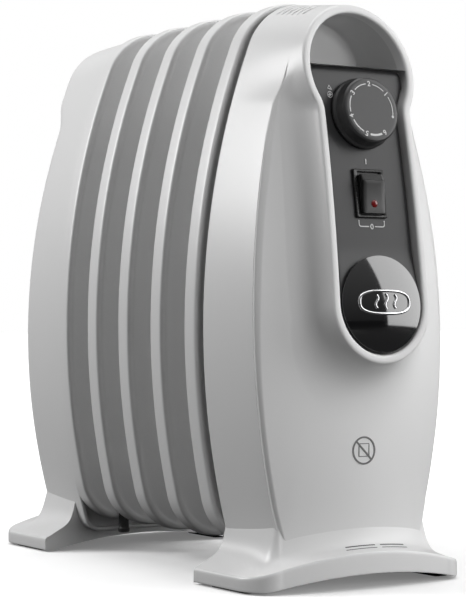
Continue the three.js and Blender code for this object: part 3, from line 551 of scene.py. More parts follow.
def key_ring(offset):
    """Keyhole outline at an offset, as (x, z) rows."""
    return ring(along(half_keyhole(offset), KEY_U))


def put(q, y):
    """(x, z) rows and Y values as 3-D rows."""
    return np.stack([q[:, 0], np.broadcast_to(y, len(q)), q[:, 1]], 1)


def crease_away(z):
    """Distance from the seam to the crease between side and face, at height z."""
    return 56.0 - (z - 95.0) ** 2 / 3964.0


# ------------------------------------------------------------------ front cover
def crease_half(z):
    """Half width of the crease at height z: the fin's side arc set in 4.4, straight below 52."""
    return np.sqrt(SIDE_R**2 - (np.maximum(z, 52.0) - FIN_MID) ** 2) - SIDE_C - 4.4


def front_base(q):
    """Y of the crowned face: the crease's depth plus a parabola across the width."""
    crown = FRONT_CROWN * (1 - np.clip(np.abs(q[:, 0]) / crease_half(q[:, 1]), 0, 1) ** 2)
    return FRONT_SEAM - crease_away(q[:, 1]) - crown


def front_cover_grid():
    """Seam, side, soft crease, crowned face, filleted wall of the keyhole and its rounded rim."""
    rim = key_ring(RIM_WIDTH)
    rim_y = face_y(rim[:, 1])
    low = np.clip((LOW_Z - rim[:, 1]) / (LOW_R + RIM_WIDTH), 0, 1)
    seam = body_ring(0.0)
    flat = body_ring(CREASE_INSET)
    head = step(296, 324, flat[:, 1])
    fade = step(255, 306, flat[:, 1])
    k = mix(flat, mix(seam, rim, 0.78), head[:, None])
    k_y = mix(front_base(k), mix(FRONT_SEAM, rim_y + 2, 0.78), head)
    groove = 1 - fade
    rows = [
        put(flat, FRONT_SEAM - 5),
        put(flat, FRONT_SEAM - 0.6),
        put(body_ring(2.1), FRONT_SEAM),
        put(body_ring(0.6), FRONT_SEAM),
        put(body_ring(0.0), FRONT_SEAM - 0.6),
    ]
    for t in (0.06, 0.14, 0.25, 0.4, 0.55, 0.7, 0.82):
        sideways = mix(t**1.25 * 0.92, t, fade)[:, None]
        rows.append(put(mix(seam, k, sideways), mix(FRONT_SEAM, k_y, t)))
    gap = FRONT_SEAM - k_y
    centre = np.stack([np.zeros(len(k)), np.clip(k[:, 1], 70, 300)], 1)
    inward = centre - k
    inward /= np.linalg.norm(inward, axis=1)[:, None] + 1e-9
    away = np.linalg.norm(k - rim, axis=1)
    direction = (k - rim) / (away[:, None] + 1e-9)

    def lie(q, share):
        """Y between the crowned face and, on the head, a straight tube towards the rim."""
        return mix(front_base(q), mix(rim_y + 2, k_y, share), head)

    rows.append(put(k + (seam - k) * mix(0.08, 5.2 / gap, fade)[:, None], k_y + 3.2 + 2.0 * fade))
    rows.append(put(k + (seam - k) * mix(0.03, 2.5 / gap, fade)[:, None], k_y + 1.7 + 0.8 * fade))
    rows.append(put(k + inward * (0.9 * groove)[:, None], k_y + 1.5 * groove + 0.3))
    on_body, on_head = k + inward * (1.4 + 0.8 * fade)[:, None], k - direction * (0.06 * away)[:, None]
    q = mix(on_body, on_head, head[:, None])
    rows.append(put(q, lie(q, 0.94) + 1.5 * groove))
    for d in (3.4, 5.6):
        ahead = np.minimum(d + 2.0 * fade, away * 0.1 * d / 2.6)
        q = k - direction * ahead[:, None]
        rows.append(put(q, lie(q, 1 - ahead / away)))
    reach = mix(np.minimum(15.0 + 16.0 * low, away * 0.72), away * 0.5, head)
    start = away - np.minimum(7.0, away * 0.25)
    for t in (0.3, 0.6, 0.85):
        d = mix(start, reach, t)
        q = rim + direction * d[:, None]
        rows.append(put(q, lie(q, np.clip(d / away, 0, 1))))
    for d, h in ((1.0, 0.0), (0.64, 0.05), (0.4, 0.17), (0.22, 0.37), (0.1, 0.62), (0.03, 0.83)):
        q = rim + direction * (reach * d)[:, None]
        tube = mix(rim_y + 2, k_y, reach * d / away)
        rows.append(put(q, mix(mix(front_base(q), rim_y + 1.5, h), tube, head)))
    lip = [(RIM_WIDTH, 1.7), (5.2, 0.55), (4.2, 0.0), (2.6, -0.05)]
    lip += [(1.1, 0.05), (0.25, 0.8), (0.0, 2.0), (0.0, 8.8)]
    for offset, back in lip:
        q = key_ring(offset)
        rows.append(put(q, face_y(q[:, 1]) + back))
    return rows


def vent_slots(g):
    """Sinks six narrow slots into the crown of the head, each a smooth-edged groove."""
    pitch, last_slot = 5.6, 5
    x, y, z = g[..., 0], g[..., 1], g[..., 2]
    top = (z > 345) & (y < FRONT_SEAM - 5)
    phase = (FRONT_SEAM - 9 - y) / pitch
    near = np.abs(phase - np.clip(np.round(phase), 0, last_slot)) * pitch
    depth = (1 - step(0.8, 1.3, near)) * (1 - step(23.0, 24.5, np.abs(x))) * top
    g[..., 2] -= 5.0 * depth
    return g


def cover_rows(rows):
    """The spline through the cover's rings, with extra rows where the vent slots lie."""
    g = spline(rows, 6)
    d = np.abs(np.diff(g[:, 0, 1]))
    out = [g[0]]
    for a, b, gap in zip(g[:-1], g[1:], d):
        n = int(np.clip(math.ceil(gap / 0.5), 1, 12)) if g[0, 0, 1] - a[0, 1] > -6 else 1
        out += [mix(a, b, (j + 1) / n) for j in range(n)]
    return np.array(out)


front_shell = loft("front_shell", vent_slots(cover_rows(front_cover_grid())), white, sharp=60)


def grip_pocket():
    """Hand-grip tunnel behind the rim: an arch with a level floor, running back to a rounded end, given a
    darker grey copy of the white plastic as painted shade.
    """
    a0 = math.asin((PANEL_TOP - HEAD_Z - 1.5) / HEAD_R)
    top = arc(0, HEAD_Z, HEAD_R + 0.25, math.pi / 2, a0, 60)
    half = np.concatenate([top, np.array([[0.0, PANEL_TOP - 1.5]])])
    u = np.linspace(0, 1, 91)
    q = ring(along(half, u))
    mouth = face_y(PANEL_TOP)
    mid = np.array([0.0, 334.0])
    walls = [(0.0, 1.0), (0.0, 12), (0.0, 30), (0.0, 46), (0.0, 48.9)]
    back = [(0.03, 50), (0.1, 50), (0.3, 50), (0.6, 50)]
    rows = []
    for share, y in walls + back:
        y_row = mouth + y + (face_y(q[:, 1]) - mouth if y < 2 else 0.0)
        rows.append(put(mix(q, mid, share), y_row))
    # The tunnel's darker grey is painted shade, not a different plastic.
    return loft("grip_pocket", spline(rows, 4), grip_painted_shade, sharp=50, caps=(False, True))


pocket = grip_pocket()


# ------------------------------------------------------------------ feet
def fall(f, steep, power, straight):
    """Share of a skirt's height left at f of its run: a steep power fall plus a straight one."""
    return steep * (1 - f) ** power + straight * (1 - f)


def plan_line(half, front_corner, front_mid, radius, back, counts=(40, 28, 80)):
    """Plan outline from the left rear, along the left side, round to the front and back again.

    The front follows a shallow parabola between the corners, the corners are quarter ellipses.
    """
    a, b, c = counts
    side_y = np.linspace(back, front_corner - radius, a, endpoint=False)
    side = np.stack([np.full(a, -half), side_y], 1)
    t = np.linspace(0, math.pi / 2, b, endpoint=False)
    xe = -half + radius
    ye = mix(front_corner, front_mid, 1 - (xe / half) ** 2)
    start = front_corner - radius
    corner = np.stack([xe - radius * np.cos(t), start + (ye - front_corner + radius) * np.sin(t)], 1)
    x = np.linspace(xe, 0, c // 2 + 1)
    front = np.stack([x, mix(front_corner, front_mid, 1 - (x / half) ** 2)], 1)
    left = np.concatenate([side, corner, front])
    right = left[-2::-1] * np.array([-1.0, 1.0])
    return np.concatenate([left, right])


def arch(x):
    """Height of the foot's arched lower edge."""
    return 1.2 + 8.2 * np.clip(1 - (x / 73.0) ** 2, 0, 1)


def foot_pieces(name, seam, root, edge, corner, direction, back):
    """Foot of a cover: a concave skirt that flares from the body to a rounded edge over an arch.

    Plan distances are counted from the seam, away from the fins. root and edge are each a
    (corner, middle) pair of those distances, where the skirt leaves the body and where it ends.
    """
    inner = plan_line(ROOT_HALF, *root, 4.0, back)
    outer = plan_line(FOOT_HALF, *edge, corner, back)
    towards_front = step(0.0, 26.0, inner[:, 1] - (root[0] - 26.0))
    top_z = ROOT_Z + ROOT_RISE * towards_front * (1 - (inner[:, 0] / ROOT_SPAN) ** 2)
    edge_z = FOOT_END + EDGE_RISE * (1 - (outer[:, 0] / FOOT_HALF) ** 2)
    rows = []

    def row(p, z):
        rows.append(np.stack([p[:, 0], seam + direction * p[:, 1], z], 1))

    row(mix(inner, outer, -0.1), top_z + 10)
    for f in (0.0, 0.012, 0.03, 0.055, 0.09, 0.14, 0.21, 0.31, 0.43, 0.57, 0.71, 0.83, 0.91):
        rest = mix(fall(f, *SOFT_FALL), fall(f, *HARD_FALL), towards_front)
        row(mix(inner, outer, f), edge_z + (top_z - edge_z) * rest)
    last = edge_z + (top_z - edge_z) * 0.035
    row(mix(inner, outer, 0.96), last)
    row(outer + (inner - outer) * 0.008, last - 1.2)
    row(outer, last - 3.0)
    low = arch(outer[:, 0])
    row(outer, mix(last - 3.0, low, 0.5))
    row(outer, low + 0.8)
    row(outer + (inner - outer) * 0.012, low + 0.15)
    row(outer + (inner - outer) * 0.05, arch(mix(outer[:, 0], inner[:, 0], 0.05)))
    g = spline(rows, 4)
    end = g[-1]
    y = seam + direction * back
    inside = np.c_[end[:, 0], np.full(len(end), y), end[:, 2]]
    under = np.stack([mix(end, inside, t) for t in (0.5, 1.0)])
    skirt = np.concatenate([g, under])
    top = loft(f"{name}_top", skirt, white, closed=False, flip=direction > 0, sharp=50)
    left = g[:, 0]
    even, own = np.linspace(0, 1, 120), np.linspace(0, 1, len(left))
    x = np.interp(even, own, left[:, 0])
    z = np.interp(even, own, left[:, 2])
    keep = z > FOOT_END - 3
    xs = np.r_[x[keep], 0.0]
    zs = np.r_[z[keep], z[keep][0]]
    order = np.argsort(xs)
    line = np.linspace(-FOOT_HALF, FOOT_HALF, 161)
    high = np.interp(-np.abs(line), xs[order], zs[order])
    level = np.full(len(line), y)
    face = np.stack([np.stack([line, level, z_row], 1) for z_row in (arch(line), high)])
    wall = loft(f"{name}_wall", face, white, closed=False, flip=direction > 0, sharp=50)
    return top, wall


front_top, front_wall = foot_pieces("front_foot", FRONT_SEAM, FRONT_ROOT, FRONT_EDGE, 18.0, -1, 0.0)
front_cover = join("front_cover_shell", front_shell, pocket, front_top, front_wall)
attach(front_cover, "heater")
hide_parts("front_cover")


# ------------------------------------------------------------------ rear cover
def rear_cover_grid():
    """Seam, side, soft crease and a back that rises in a low dome to its middle."""
    seam = body_ring(0.0)
    k = body_ring(CREASE_INSET)
    head = step(299, 322, k[:, 1])
    k_y = REAR_SEAM + crease_away(k[:, 1]) + 1.5
    k_y = mix(k_y, 224.5, head)
    centre = np.stack([np.zeros(len(k)), np.clip(k[:, 1], 95, 305)], 1)
    inward = centre - k
    inward /= np.linalg.norm(inward, axis=1)[:, None] + 1e-9
    groove = (1 - step(285, 335, k[:, 1]))[:, None] * 0.85
    rows = [
        put(k, REAR_SEAM + 5),
        put(k, REAR_SEAM + 0.6),
        put(body_ring(2.1), REAR_SEAM),
        put(body_ring(0.6), REAR_SEAM),
        put(body_ring(0.0), REAR_SEAM + 0.6),
    ]
    for t in (0.06, 0.14, 0.25, 0.4, 0.55, 0.7, 0.82, 0.9):
        rows.append(put(mix(seam, k, t**1.25 * 0.92), mix(REAR_SEAM, k_y, t)))
    rows.append(put(k, k_y - 2.2))
    rows.append(put(k + inward * groove * 0.5, k_y - 0.9 * groove[:, 0] - 0.3))
    rows.append(put(k + inward * (0.4 + 0.6 * groove), k_y - 1.3 * groove[:, 0] + 0.1))
    for share in (0.05, 0.12, 0.24, 0.38, 0.54, 0.7, 0.85, 0.95, 1.0):
        rise = mix(12.5, 6.0, head) * (1 - (1 - share) ** 2)
        body_back = REAR_SEAM + crease_away(np.minimum(k[:, 1], 300)) + 1.5
        back = mix(k_y, body_back, step(0.5, 1.0, share) * head)
        rows.append(put(mix(k, centre, share), back + rise))
    return spline(rows, 5)


rear_shell = loft("rear_shell", rear_cover_grid(), white, flip=True, sharp=60, caps=(False, True))
rear_top, rear_wall = foot_pieces("rear_foot", REAR_SEAM, REAR_ROOT, REAR_EDGE, 13.0, 1, 10.0)
rear_cover = join("rear_cover_shell", rear_shell, rear_top, rear_wall)
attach(rear_cover, "heater")
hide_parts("rear_cover")


# ------------------------------------------------------------------ control panel
def on_panel(z):
    """4x4 of a spot on the recessed panel at height z."""
    return Matrix.Translation((0, float(panel_y(z) - face_y(z)) - PANEL_BACK, 0)) @ panel_frame(z)


def half_panel(inset):
    """Right half of the panel outline: level top, rounded corner, then the keyhole's line."""
    key = half_keyhole(-0.5 - inset)
    top = PANEL_TOP - 0.4 - inset
    r = HEAD_R - 0.5 - inset
    corner = rounded([(0, top), (r, top - 1.5), (r, HEAD_Z - 9)], 7.5, 12)
    return np.concatenate([corner, key[key[:, 1] < HEAD_Z - 9]])


def panel_grid():
    """Panel face with a rounded lip along its edge, closed at the back."""
    u = np.linspace(0, 1, 161)
    rows = []
    for inset, back in ((0.0, 2.8), (0.0, 1.9), (0.3, 0.8), (1.2, 0.1), (3.0, 0.0), (6.0, 0.0)):
        q = ring(along(half_panel(inset), u))
        rows.append(put(q, panel_y(q[:, 1]) + back))
    q = ring(along(half_panel(6.0), u))
    for s in (0.2, 0.4, 0.6, 0.8, 1.0):
        c = q.copy()
        c[:, 0] *= 1 - s
        rows.append(put(c, panel_y(c[:, 1])))
    return spline(rows, 3)


panel = loft("control_panel_face", panel_grid(), panel_grey, sharp=50, caps=(True, False))
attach(panel, "heater")
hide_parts("control_panel")

# ------------------------------------------------------------------ dial
DIAL_Z, DIAL_FACE = 291.5, 11.44
dial_place = panel_frame(DIAL_Z, 3.0)
knob_line = [
    (0, 0.6), (22.2, 0.6), (22.4, 1.0), (22.4, 2.4), (21.9, 3.2), (21.4, 3.7), (21.1, 4.4),
    (20.9, 9.2), (20.5, 10.4), (19.6, 11.2), (18.4, 11.5), (17.6, 11.5), (0, 11.35),
]
knob = turned(knob_line, dial_place, "dial_knob_body", knob_grey, 128, 25)
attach(knob, "dial")
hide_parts("dial_knob")

marks_on_dial = []
SCALE_R = 16.2
label_angles = {"1": 40, "2": 89, "3": 142, "4": 197, "5": 250, "6": 300}
for text, angle in label_angles.items():
    a = math.radians(angle)
    spot = (SCALE_R * math.cos(a), SCALE_R * math.sin(a))
    marks_on_dial.append(
        letter(text, 4.6, dial_place, f"scale_{text}", print_white, a - math.pi / 2, spot, DIAL_FACE + 0.03)
    )


def scale_arc(a0, a1, width, name):
    """Printed arc of the dial's scale between two angles in degrees."""
    a = np.radians(np.linspace(a0, a1, 30))
    p = np.stack([SCALE_R * np.cos(a), SCALE_R * np.sin(a)], 1)
    return flat_ribbon(p, width, DIAL_FACE + 0.1, dial_place, name, print_white)


arc_ends = [
    (-12, 32, 0.55), (48, 80, 0.55), (98, 133, 0.6),
    (151, 188, 0.7), (206, 241, 0.8), (259, 291, 1.3),
]
for index, (a0, a1, width) in enumerate(arc_ends):
    marks_on_dial.append(scale_arc(a0, a1, width, f"scale_arc_{index}"))
dot = [(0, DIAL_FACE - 0.1), (0.9, DIAL_FACE - 0.1), (0.9, DIAL_FACE + 0.1), (0, DIAL_FACE + 0.1)]
dot_angle = math.radians(-14)
dot_spot = (SCALE_R * math.cos(dot_angle), SCALE_R * math.sin(dot_angle), 0)
marks_on_dial.append(turned(dot, dial_place @ Matrix.Translation(dot_spot), "scale_dot", print_white, 24))
scale = join("dial_scale", *marks_on_dial)
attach(scale, "dial")

# ------------------------------------------------------------------ switch
SWITCH_Z = 241.5
switch_place = on_panel(SWITCH_Z)


def square_ring(half_x, half_y, radius, n=10):
    """Rounded rectangle from the top centre, clockwise, as (x, y) rows."""
    corner = rounded([(0, half_y), (half_x, half_y), (half_x, -half_y), (0, -half_y)], radius, n)
    return ring(along(corner, np.linspace(0, 1, 61)))


def local_loft(name, rows, place, material, caps=(True, False), sharp=35, per=0, flip=False):
    """A loft of (outline, height) pairs in a local frame, put in place by a 4x4."""
    g = np.stack([np.c_[q, np.full(len(q), h)] for q, h in rows])
    if per:
        g = spline(g, per)
    return loft(name, placed(g, place), material, flip=flip, sharp=sharp, caps=caps)


bezel_rows = [
    (square_ring(10.7, 13.7, 0.6), -20.0),
    (square_ring(10.7, 13.7, 0.6), 0.1),
    (square_ring(11.6, 15.2, 0.9), 0.1),
    (square_ring(11.7, 15.3, 0.9), 0.5),
    (square_ring(11.6, 15.2, 0.9), 1.3),
    (square_ring(11.1, 14.7, 0.8), 1.8),
    (square_ring(9.5, 14.0, 0.6), 1.8),
    (square_ring(9.1, 13.6, 0.5), 1.7),
    (square_ring(8.8, 13.3, 0.4), 1.0),
    (square_ring(8.8, 13.3, 0.4), -11.0),
]
bezel = local_loft("switch_housing", bezel_rows, switch_place, switch_black, caps=(True, True), flip=True)
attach(bezel, "heater")
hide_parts("switch_body")

rocker_tilt = Matrix.Rotation(math.radians(9.0), 4, "X")
rocker_place = panel_frame(SWITCH_Z, 0.8) @ Matrix.Translation((0, 0, -0.4)) @ rocker_tilt


def rocker_grid():
    """Paddle with a hollow face: outline rows whose height follows a shallow parabola."""
    sunk = [(6.6, 9.0, -6.0), (8.2, 11.6, -4.0), (8.3, 12.1, -1.0), (8.3, 12.2, 0.6)]
    proud = [(8.3, 12.2, 3.2), (8.25, 12.15, 3.7), (7.9, 11.8, 4.1)]
    face = [(7.2, 11.2, 4.2), (5.0, 8.5, 4.2), (2.0, 4.0, 4.2)]
    rows = []
    for hx, hy, drop in sunk + proud + face:
        q = square_ring(hx, hy, 1.0)
        if drop > 2.5:
            q[:, 1] = mix(-hy, hy * 0.7, (q[:, 1] + hy) / (2 * hy))
        dip = 0.9 * (1 - (q[:, 1] / 12.2) ** 2) * (drop > 2.5)
        rows.append(np.c_[q, drop - dip])
    return placed(np.stack(rows), rocker_place)


rocker = loft("rocker_paddle", rocker_grid(), rocker_black, flip=True, sharp=35, caps=(True, True))
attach(rocker, "rocker")
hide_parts("switch_rocker")
lens_line = [(0, 2.4), (2.4, 2.4), (2.4, 3.9), (2.25, 4.3), (1.8, 4.75), (1.1, 5.1), (0, 5.2)]
lens = turned(lens_line, rocker_place @ Matrix.Translation((0, -6.1, -0.45)), "pilot_dome", lens_red, 48, 60)
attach(lens, "rocker")
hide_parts("pilot_lens")

# ------------------------------------------------------------------ printed marks on the panel
dial_spot = on_panel(DIAL_Z)
panel_marks = [flat_ribbon([(0, 18.6), (0, 22.0)], 0.75, 0.1, switch_place, "mark_on", print_white)]
bracket_left = rounded([(-9.6, -16.6), (-9.6, -20.4), (-2.3, -20.4)], 1.6, 6)
panel_marks.append(flat_ribbon(bracket_left, 0.6, 0.1, switch_place, "mark_left", print_white))
bracket_right = bracket_left * np.array([-1.0, 1.0])
panel_marks.append(flat_ribbon(bracket_right[::-1], 0.6, 0.1, switch_place, "mark_right", print_white))
turn = np.linspace(0, 2 * math.pi, 33)[:-1]
zero = np.stack([0.9 * np.cos(turn), -20.4 + 1.4 * np.sin(turn)], 1)
panel_marks.append(flat_ribbon(zero, 0.6, 0.1, switch_place, "mark_off", print_white, closed=True))
frost_x, frost_y = -21.3, 11.0
for branch in range(3):
    a = math.radians(60 * branch)
    tip = np.array([math.cos(a), math.sin(a)]) * 1.5
    middle = np.array([frost_x, frost_y])
    ends, lift = [middle - tip, middle + tip], 0.1 + 0.01 * branch
    panel_marks.append(flat_ribbon(ends, 0.3, lift, dial_spot, f"frost_{branch}", print_white))
frost_ring = np.stack([frost_x + 1.9 * np.cos(turn), frost_y + 1.9 * np.sin(turn)], 1)
panel_marks.append(flat_ribbon(frost_ring, 0.3, 0.1, dial_spot, "frost_ring", print_white, closed=True))
pointer = np.array([(-22.6, 15.0), (-19.6, 14.2), (-21.4, 17.0)])
pointer = along(np.concatenate([pointer, pointer[:1]]), np.linspace(0, 1, 25))[:-1]
panel_marks.append(flat_ribbon(pointer, 0.4, 0.1, dial_spot, "frost_pointer", print_white, closed=True))
panel_print = join("panel_print", *panel_marks)
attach(panel_print, "heater")

# ------------------------------------------------------------------ badge
badge_place = panel_frame(LOW_Z)
dome_line = [(0, 0.3), (29.4, 0.3), (29.6, 0.6), (29.6, 1.1)]
dome_line += [(DOME_R * r, DOME_FOOT + DOME_RISE * (1 - r**2)) for r in np.linspace(1, 0, 24)]
badge = turned(dome_line, badge_place, "badge_gloss_dome", gloss_black, 128, 30)
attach(badge, "heater")
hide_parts("badge_dome")


def on_dome(x, y):
    """Height of the badge's dome above the panel."""
    return DOME_FOOT + DOME_RISE * (1 - (x**2 + y**2) / DOME_R**2)


def raised_line(points, width, height, place, name, material, closed=True):
    """A raised rounded band along 2-D points, lying on the badge's dome."""
    p = np.array(points, float)
    n = side_normals(p, closed)
    rows = []
    for a in np.linspace(math.pi, 0, 9):
        q = p + n * width / 2 * math.cos(a)
        rows.append(np.c_[q, on_dome(q[:, 0], q[:, 1]) - 0.1 + height * math.sin(a)])
    g = placed(np.stack(rows), place)
    return loft(name, g, material, closed=closed, sharp=60)


oval_turn = np.linspace(0, 2 * math.pi, 241)[:-1] + 0.01
oval_x = np.sign(np.cos(oval_turn)) * np.abs(np.cos(oval_turn)) ** 0.72
oval_y = np.sign(np.sin(oval_turn)) * np.abs(np.sin(oval_turn)) ** 0.72
oval = np.stack([18.8 * oval_x, 0.6 + 7.0 * oval_y], 1)
emblem_parts = [raised_line(oval, 1.9, 1.0, badge_place, "emblem_oval", chrome)]
for wave_x in (-7.0, 0.0, 7.0):
    s = np.linspace(-1, 1, 40)
    reach = 4.6 if wave_x == 0 else 4.1
    wave = np.stack([wave_x + 1.0 * np.sin(s * math.pi), 1.0 + reach * s], 1)
    wave_name = f"emblem_wave_{int(wave_x)}"
    emblem_parts.append(raised_line(wave, 1.8, 1.0, badge_place, wave_name, chrome, closed=False))
emblem = join("badge_emblem_waves", *emblem_parts)
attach(emblem, "heater")
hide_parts("badge_emblem")

# ------------------------------------------------------------------ plain round symbol and foot slots
SYMBOL_Z = 84.0


def on_front(name, points, width, closed):
    """A printed line on the lower front, following the crowned face."""
    p = np.array(points, float)
    ob = flat_ribbon(p, width, 0.0, Matrix.Identity(4), name, print_grey, closed)
    me = ob.data
    n = len(me.vertices)
    v = np.empty(n * 3, np.float32)
    me.vertices.foreach_get("co", v)
    v = v.reshape(-1, 3).astype(float) / MM
    x, z, lift = v[:, 0], SYMBOL_Z + v[:, 1] - ORIGIN_Y, v[:, 2]
    crown = FRONT_CROWN * (1 - (x / 67.0) ** 2)
    y = FRONT_SEAM - crease_away(z) - crown + 0.35 - (lift + 0.12) * 5.0
    out = np.stack([x, y + ORIGIN_Y, z], 1) * MM
    me.vertices.foreach_set("co", out.astype(np.float32).ravel())
    me.update()
    return ob


symbol_ring = np.stack([8.2 * np.cos(turn), 8.2 * np.sin(turn)], 1)
symbol_ring = along(np.concatenate([symbol_ring, symbol_ring[:1]]), np.linspace(0, 1, 73))[:-1]
bar = np.array([(-5.8, 5.8), (5.8, -5.8)])
square = np.array([(-3.8, -3.6), (-3.8, 4.2), (3.8, 4.2), (3.8, -3.6), (-3.8, -3.6)])
frame_line = along(square, np.linspace(0, 1, 41))[:-1]
symbol = join(
    "round_symbol",
    on_front("symbol_ring", symbol_ring, 1.1, True),
    on_front("symbol_bar", along(bar, np.linspace(0, 1, 12)), 1.1, False),
    on_front("symbol_square", frame_line, 0.5, True),
)
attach(symbol, "heater")


# ------------------------------------------------------------------ slots on the front foot's top
def foot_point(x, f):
    """Y and Z on the front part of the foot's top at x, a share f of the way to its edge."""
    inner_y = mix(*FRONT_ROOT, 1 - (x / ROOT_HALF) ** 2)
    outer_y = mix(*FRONT_EDGE, 1 - (x / FOOT_HALF) ** 2)
    top = ROOT_Z + ROOT_RISE * (1 - (x / ROOT_SPAN) ** 2)
    edge = FOOT_END + EDGE_RISE * (1 - (x / FOOT_HALF) ** 2)
    return FRONT_SEAM - mix(inner_y, outer_y, f), edge + (top - edge) * fall(f, *HARD_FALL)


def foot_slot(name, x0, x1, f):
    """A thin dark strip of painted shade, standing for a groove, laid on the foot's top from x0 to x1."""
    x = np.linspace(x0, x1, 24)
    rows = []
    for df, lift in ((-0.03, 0.1), (0.03, 0.1)):
        y, z = foot_point(x, f + df)
        rows.append(np.stack([x, y, z + lift], 1))
    return loft(name, np.stack(rows), slot_painted_shade, closed=False, flip=True)


slot_spans = [(-16.0, 6.0, 0.36), (-17.0, 6.0, 0.56), (10.0, 30.0, 0.36), (10.0, 31.0, 0.56)]
slot_lines = [foot_slot(f"foot_slot_{n}", *span) for n, span in enumerate(slot_spans)]
foot_slots = join("foot_slots", *slot_lines)
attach(foot_slots, "heater")


# ------------------------------------------------------------------ pads and fill tube
def soft_block(name, node, material):
    """A block with rounded edges that fills a CAD pad's box: outline rows from floor to top."""
    low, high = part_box(node)
    low, high = np.array(low) / MM, np.array(high) / MM
    cx, cy = (low[:2] + high[:2]) / 2
    hx, hy = (high[:2] - low[:2]) / 2
    place = Matrix.Translation((cx, cy - ORIGIN_Y, low[2]))
    rise = high[2] - low[2]
    rows = [(square_ring(hx - 1, hy - 1, 2.5), 0.0), (square_ring(hx - 0.3, hy - 0.3, 3), 0.3)]
    rows += [(square_ring(hx, hy, 3), 1.0), (square_ring(hx, hy, 3), rise)]
    return local_loft(name, rows, place, material, caps=(True, True), flip=True)


for end_name in ("front", "rear"):
    for side_name in ("left", "right"):
        pad_node = f"{end_name}_pad_{side_name}"
        pad = soft_block(f"{pad_node}_rubber", pad_node, rubber)
        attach(pad, "heater")
        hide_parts(pad_node)

tube_y = 4 * PITCH - DEPTH - 3.8
tube_line = [(0, 0), (3.4, 0), (4.0, 0.5), (4.1, 2.6), (3.6, 3.2), (3.5, 4.2), (3.5, 24), (0, 24)]
fill = turned(tube_line, Matrix.Translation((-33, tube_y, 14)), "fill_tube_pipe", tube_black, 48, 40)
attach(fill, "heater")
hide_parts("fill_tube")

# ------------------------------------------------------------------ floor, light and camera
# The floor is pale to the camera and dark to every other ray, and the world is white to the
# camera and a height ramp to every other ray: what lights the object is not what is seen.
floor_mesh = bpy.data.meshes.new("floor")
FLOOR_HALF = 12.0
floor_corners = [(x * FLOOR_HALF, y * FLOOR_HALF, 0) for x, y in ((-1, -1), (1, -1), (1, 1), (-1, 1))]
floor_mesh.from_pydata(floor_corners, [], [(0, 1, 2, 3)])
floor_look = bpy.data.materials.new("floor_paper")
floor_look.use_nodes = True
ft = floor_look.node_tree
ft.nodes.clear()
where = ft.nodes.new("ShaderNodeTexCoord")
length = ft.nodes.new("ShaderNodeVectorMath")
length.operation = "LENGTH"
ft.links.new(where.outputs["Object"], length.inputs[0])
glow = map_range(ft, length.outputs["Value"], 0.3, 1.1, 0.16, 1.0)
shine = ft.nodes.new("ShaderNodeEmission")
ft.links.new(glow, shine.inputs["Strength"])
pale = ft.nodes.new("ShaderNodeBsdfDiffuse")
pale.inputs["Color"].default_value = (0.9, 0.9, 0.9, 1)
both = ft.nodes.new("ShaderNodeAddShader")
ft.links.new(shine.outputs["Emission"], both.inputs[0])
ft.links.new(pale.outputs["BSDF"], both.inputs[1])
bounce = ft.nodes.new("ShaderNodeBsdfDiffuse")
bounce.inputs["Color"].default_value = (0.06, 0.06, 0.06, 1)
ray = ft.nodes.new("ShaderNodeLightPath")
pick = ft.nodes.new("ShaderNodeMixShader")
ft.links.new(ray.outputs["Is Camera Ray"], pick.inputs["Fac"])
ft.links.new(bounce.outputs["BSDF"], pick.inputs[1])
ft.links.new(both.outputs["Shader"], pick.inputs[2])
ft.links.new(pick.outputs["Shader"], ft.nodes.new("ShaderNodeOutputMaterial").inputs["Surface"])
floor_mesh.materials.append(floor_look)
floor = bpy.data.objects.new("floor", floor_mesh)
bpy.context.scene.collection.objects.link(floor)


def softbox(name, spot, target, size, power):
    """A large rectangular lamp at spot that faces target."""
    lamp = bpy.data.lights.new(name, "AREA")
    lamp.shape = "RECTANGLE"
    lamp.size, lamp.size_y = size
    lamp.energy = power
    ob = bpy.data.objects.new(name, lamp)
    ob.location = spot
    ob.rotation_euler = (Vector(target) - Vector(spot)).to_track_quat("-Z", "Y").to_euler()
    bpy.context.scene.collection.objects.link(ob)
    return ob


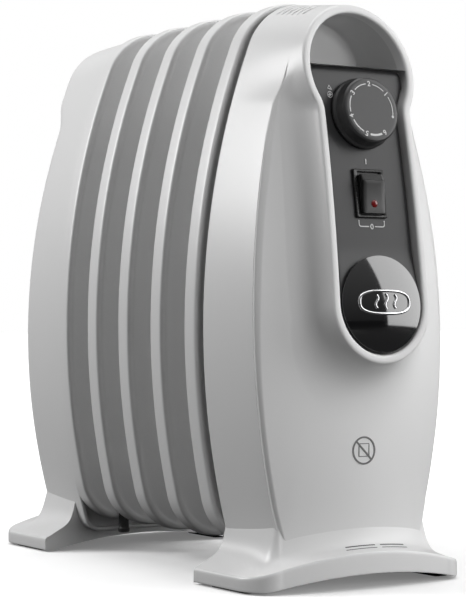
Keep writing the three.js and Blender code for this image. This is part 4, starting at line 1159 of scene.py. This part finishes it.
softbox("left_box", (-1.15, 0.95, 0.85), (0, 0.08, 0.3), (0.8, 0.6), 17)
softbox("right_box", (1.5, -1.1, 0.85), (0, -0.15, 0.25), (1.45, 1.7), 23)
softbox("front_box", (0.1, -1.7, 0.36), (0, -0.15, 0.3), (0.45, 0.5), 9).visible_glossy = False
softbox("top_box", (0.0, 0.1, 1.5), (0, 0.0, 0.2), (1.3, 1.3), 11)

world = bpy.data.worlds.new("studio")
world.use_nodes = True
bpy.context.scene.world = world
wt = world.node_tree
seen = wt.nodes["Background"]
seen.inputs["Color"].default_value = (1, 1, 1, 1)
seen.inputs["Strength"].default_value = 1.0
lit = wt.nodes.new("ShaderNodeBackground")
lit.inputs["Color"].default_value = (1, 1, 1, 1)
ways = wt.nodes.new("ShaderNodeTexCoord")
split = wt.nodes.new("ShaderNodeSeparateXYZ")
wt.links.new(ways.outputs["Generated"], split.inputs["Vector"])
sky = map_range(wt, split.outputs["Z"], -0.1, 1.0, 0.04, 0.42)
wt.links.new(sky, lit.inputs["Strength"])
path = wt.nodes.new("ShaderNodeLightPath")
either = wt.nodes.new("ShaderNodeMixShader")
wt.links.new(path.outputs["Is Camera Ray"], either.inputs["Fac"])
wt.links.new(lit.outputs["Background"], either.inputs[1])
wt.links.new(seen.outputs["Background"], either.inputs[2])
wt.links.new(either.outputs["Shader"], wt.nodes["World Output"].inputs["Surface"])

camera_data = bpy.data.cameras.new("camera")
camera_data.lens = CAMERA_LENS
camera_data.sensor_width = 36.0
camera_data.clip_end = 60.0
camera = bpy.data.objects.new("camera", camera_data)
azimuth, elevation = math.radians(-33.006), math.radians(-0.301)
level = math.cos(elevation)
back = Vector((math.sin(azimuth) * level, -math.cos(azimuth) * level, math.sin(elevation)))
right = Vector((math.cos(azimuth), math.sin(azimuth), 0))
up = back.cross(right)
turn_to = Matrix((right, up, back)).transposed().to_4x4()
camera_x, camera_y, camera_z = CAMERA_SPOT
camera_spot = Vector((camera_x, camera_y + ORIGIN_Y, camera_z)) * MM
camera.matrix_world = Matrix.Translation(camera_spot) @ turn_to
bpy.context.scene.collection.objects.link(camera)
bpy.context.scene.camera = camera
bpy.context.scene.view_settings.view_transform = "Standard"
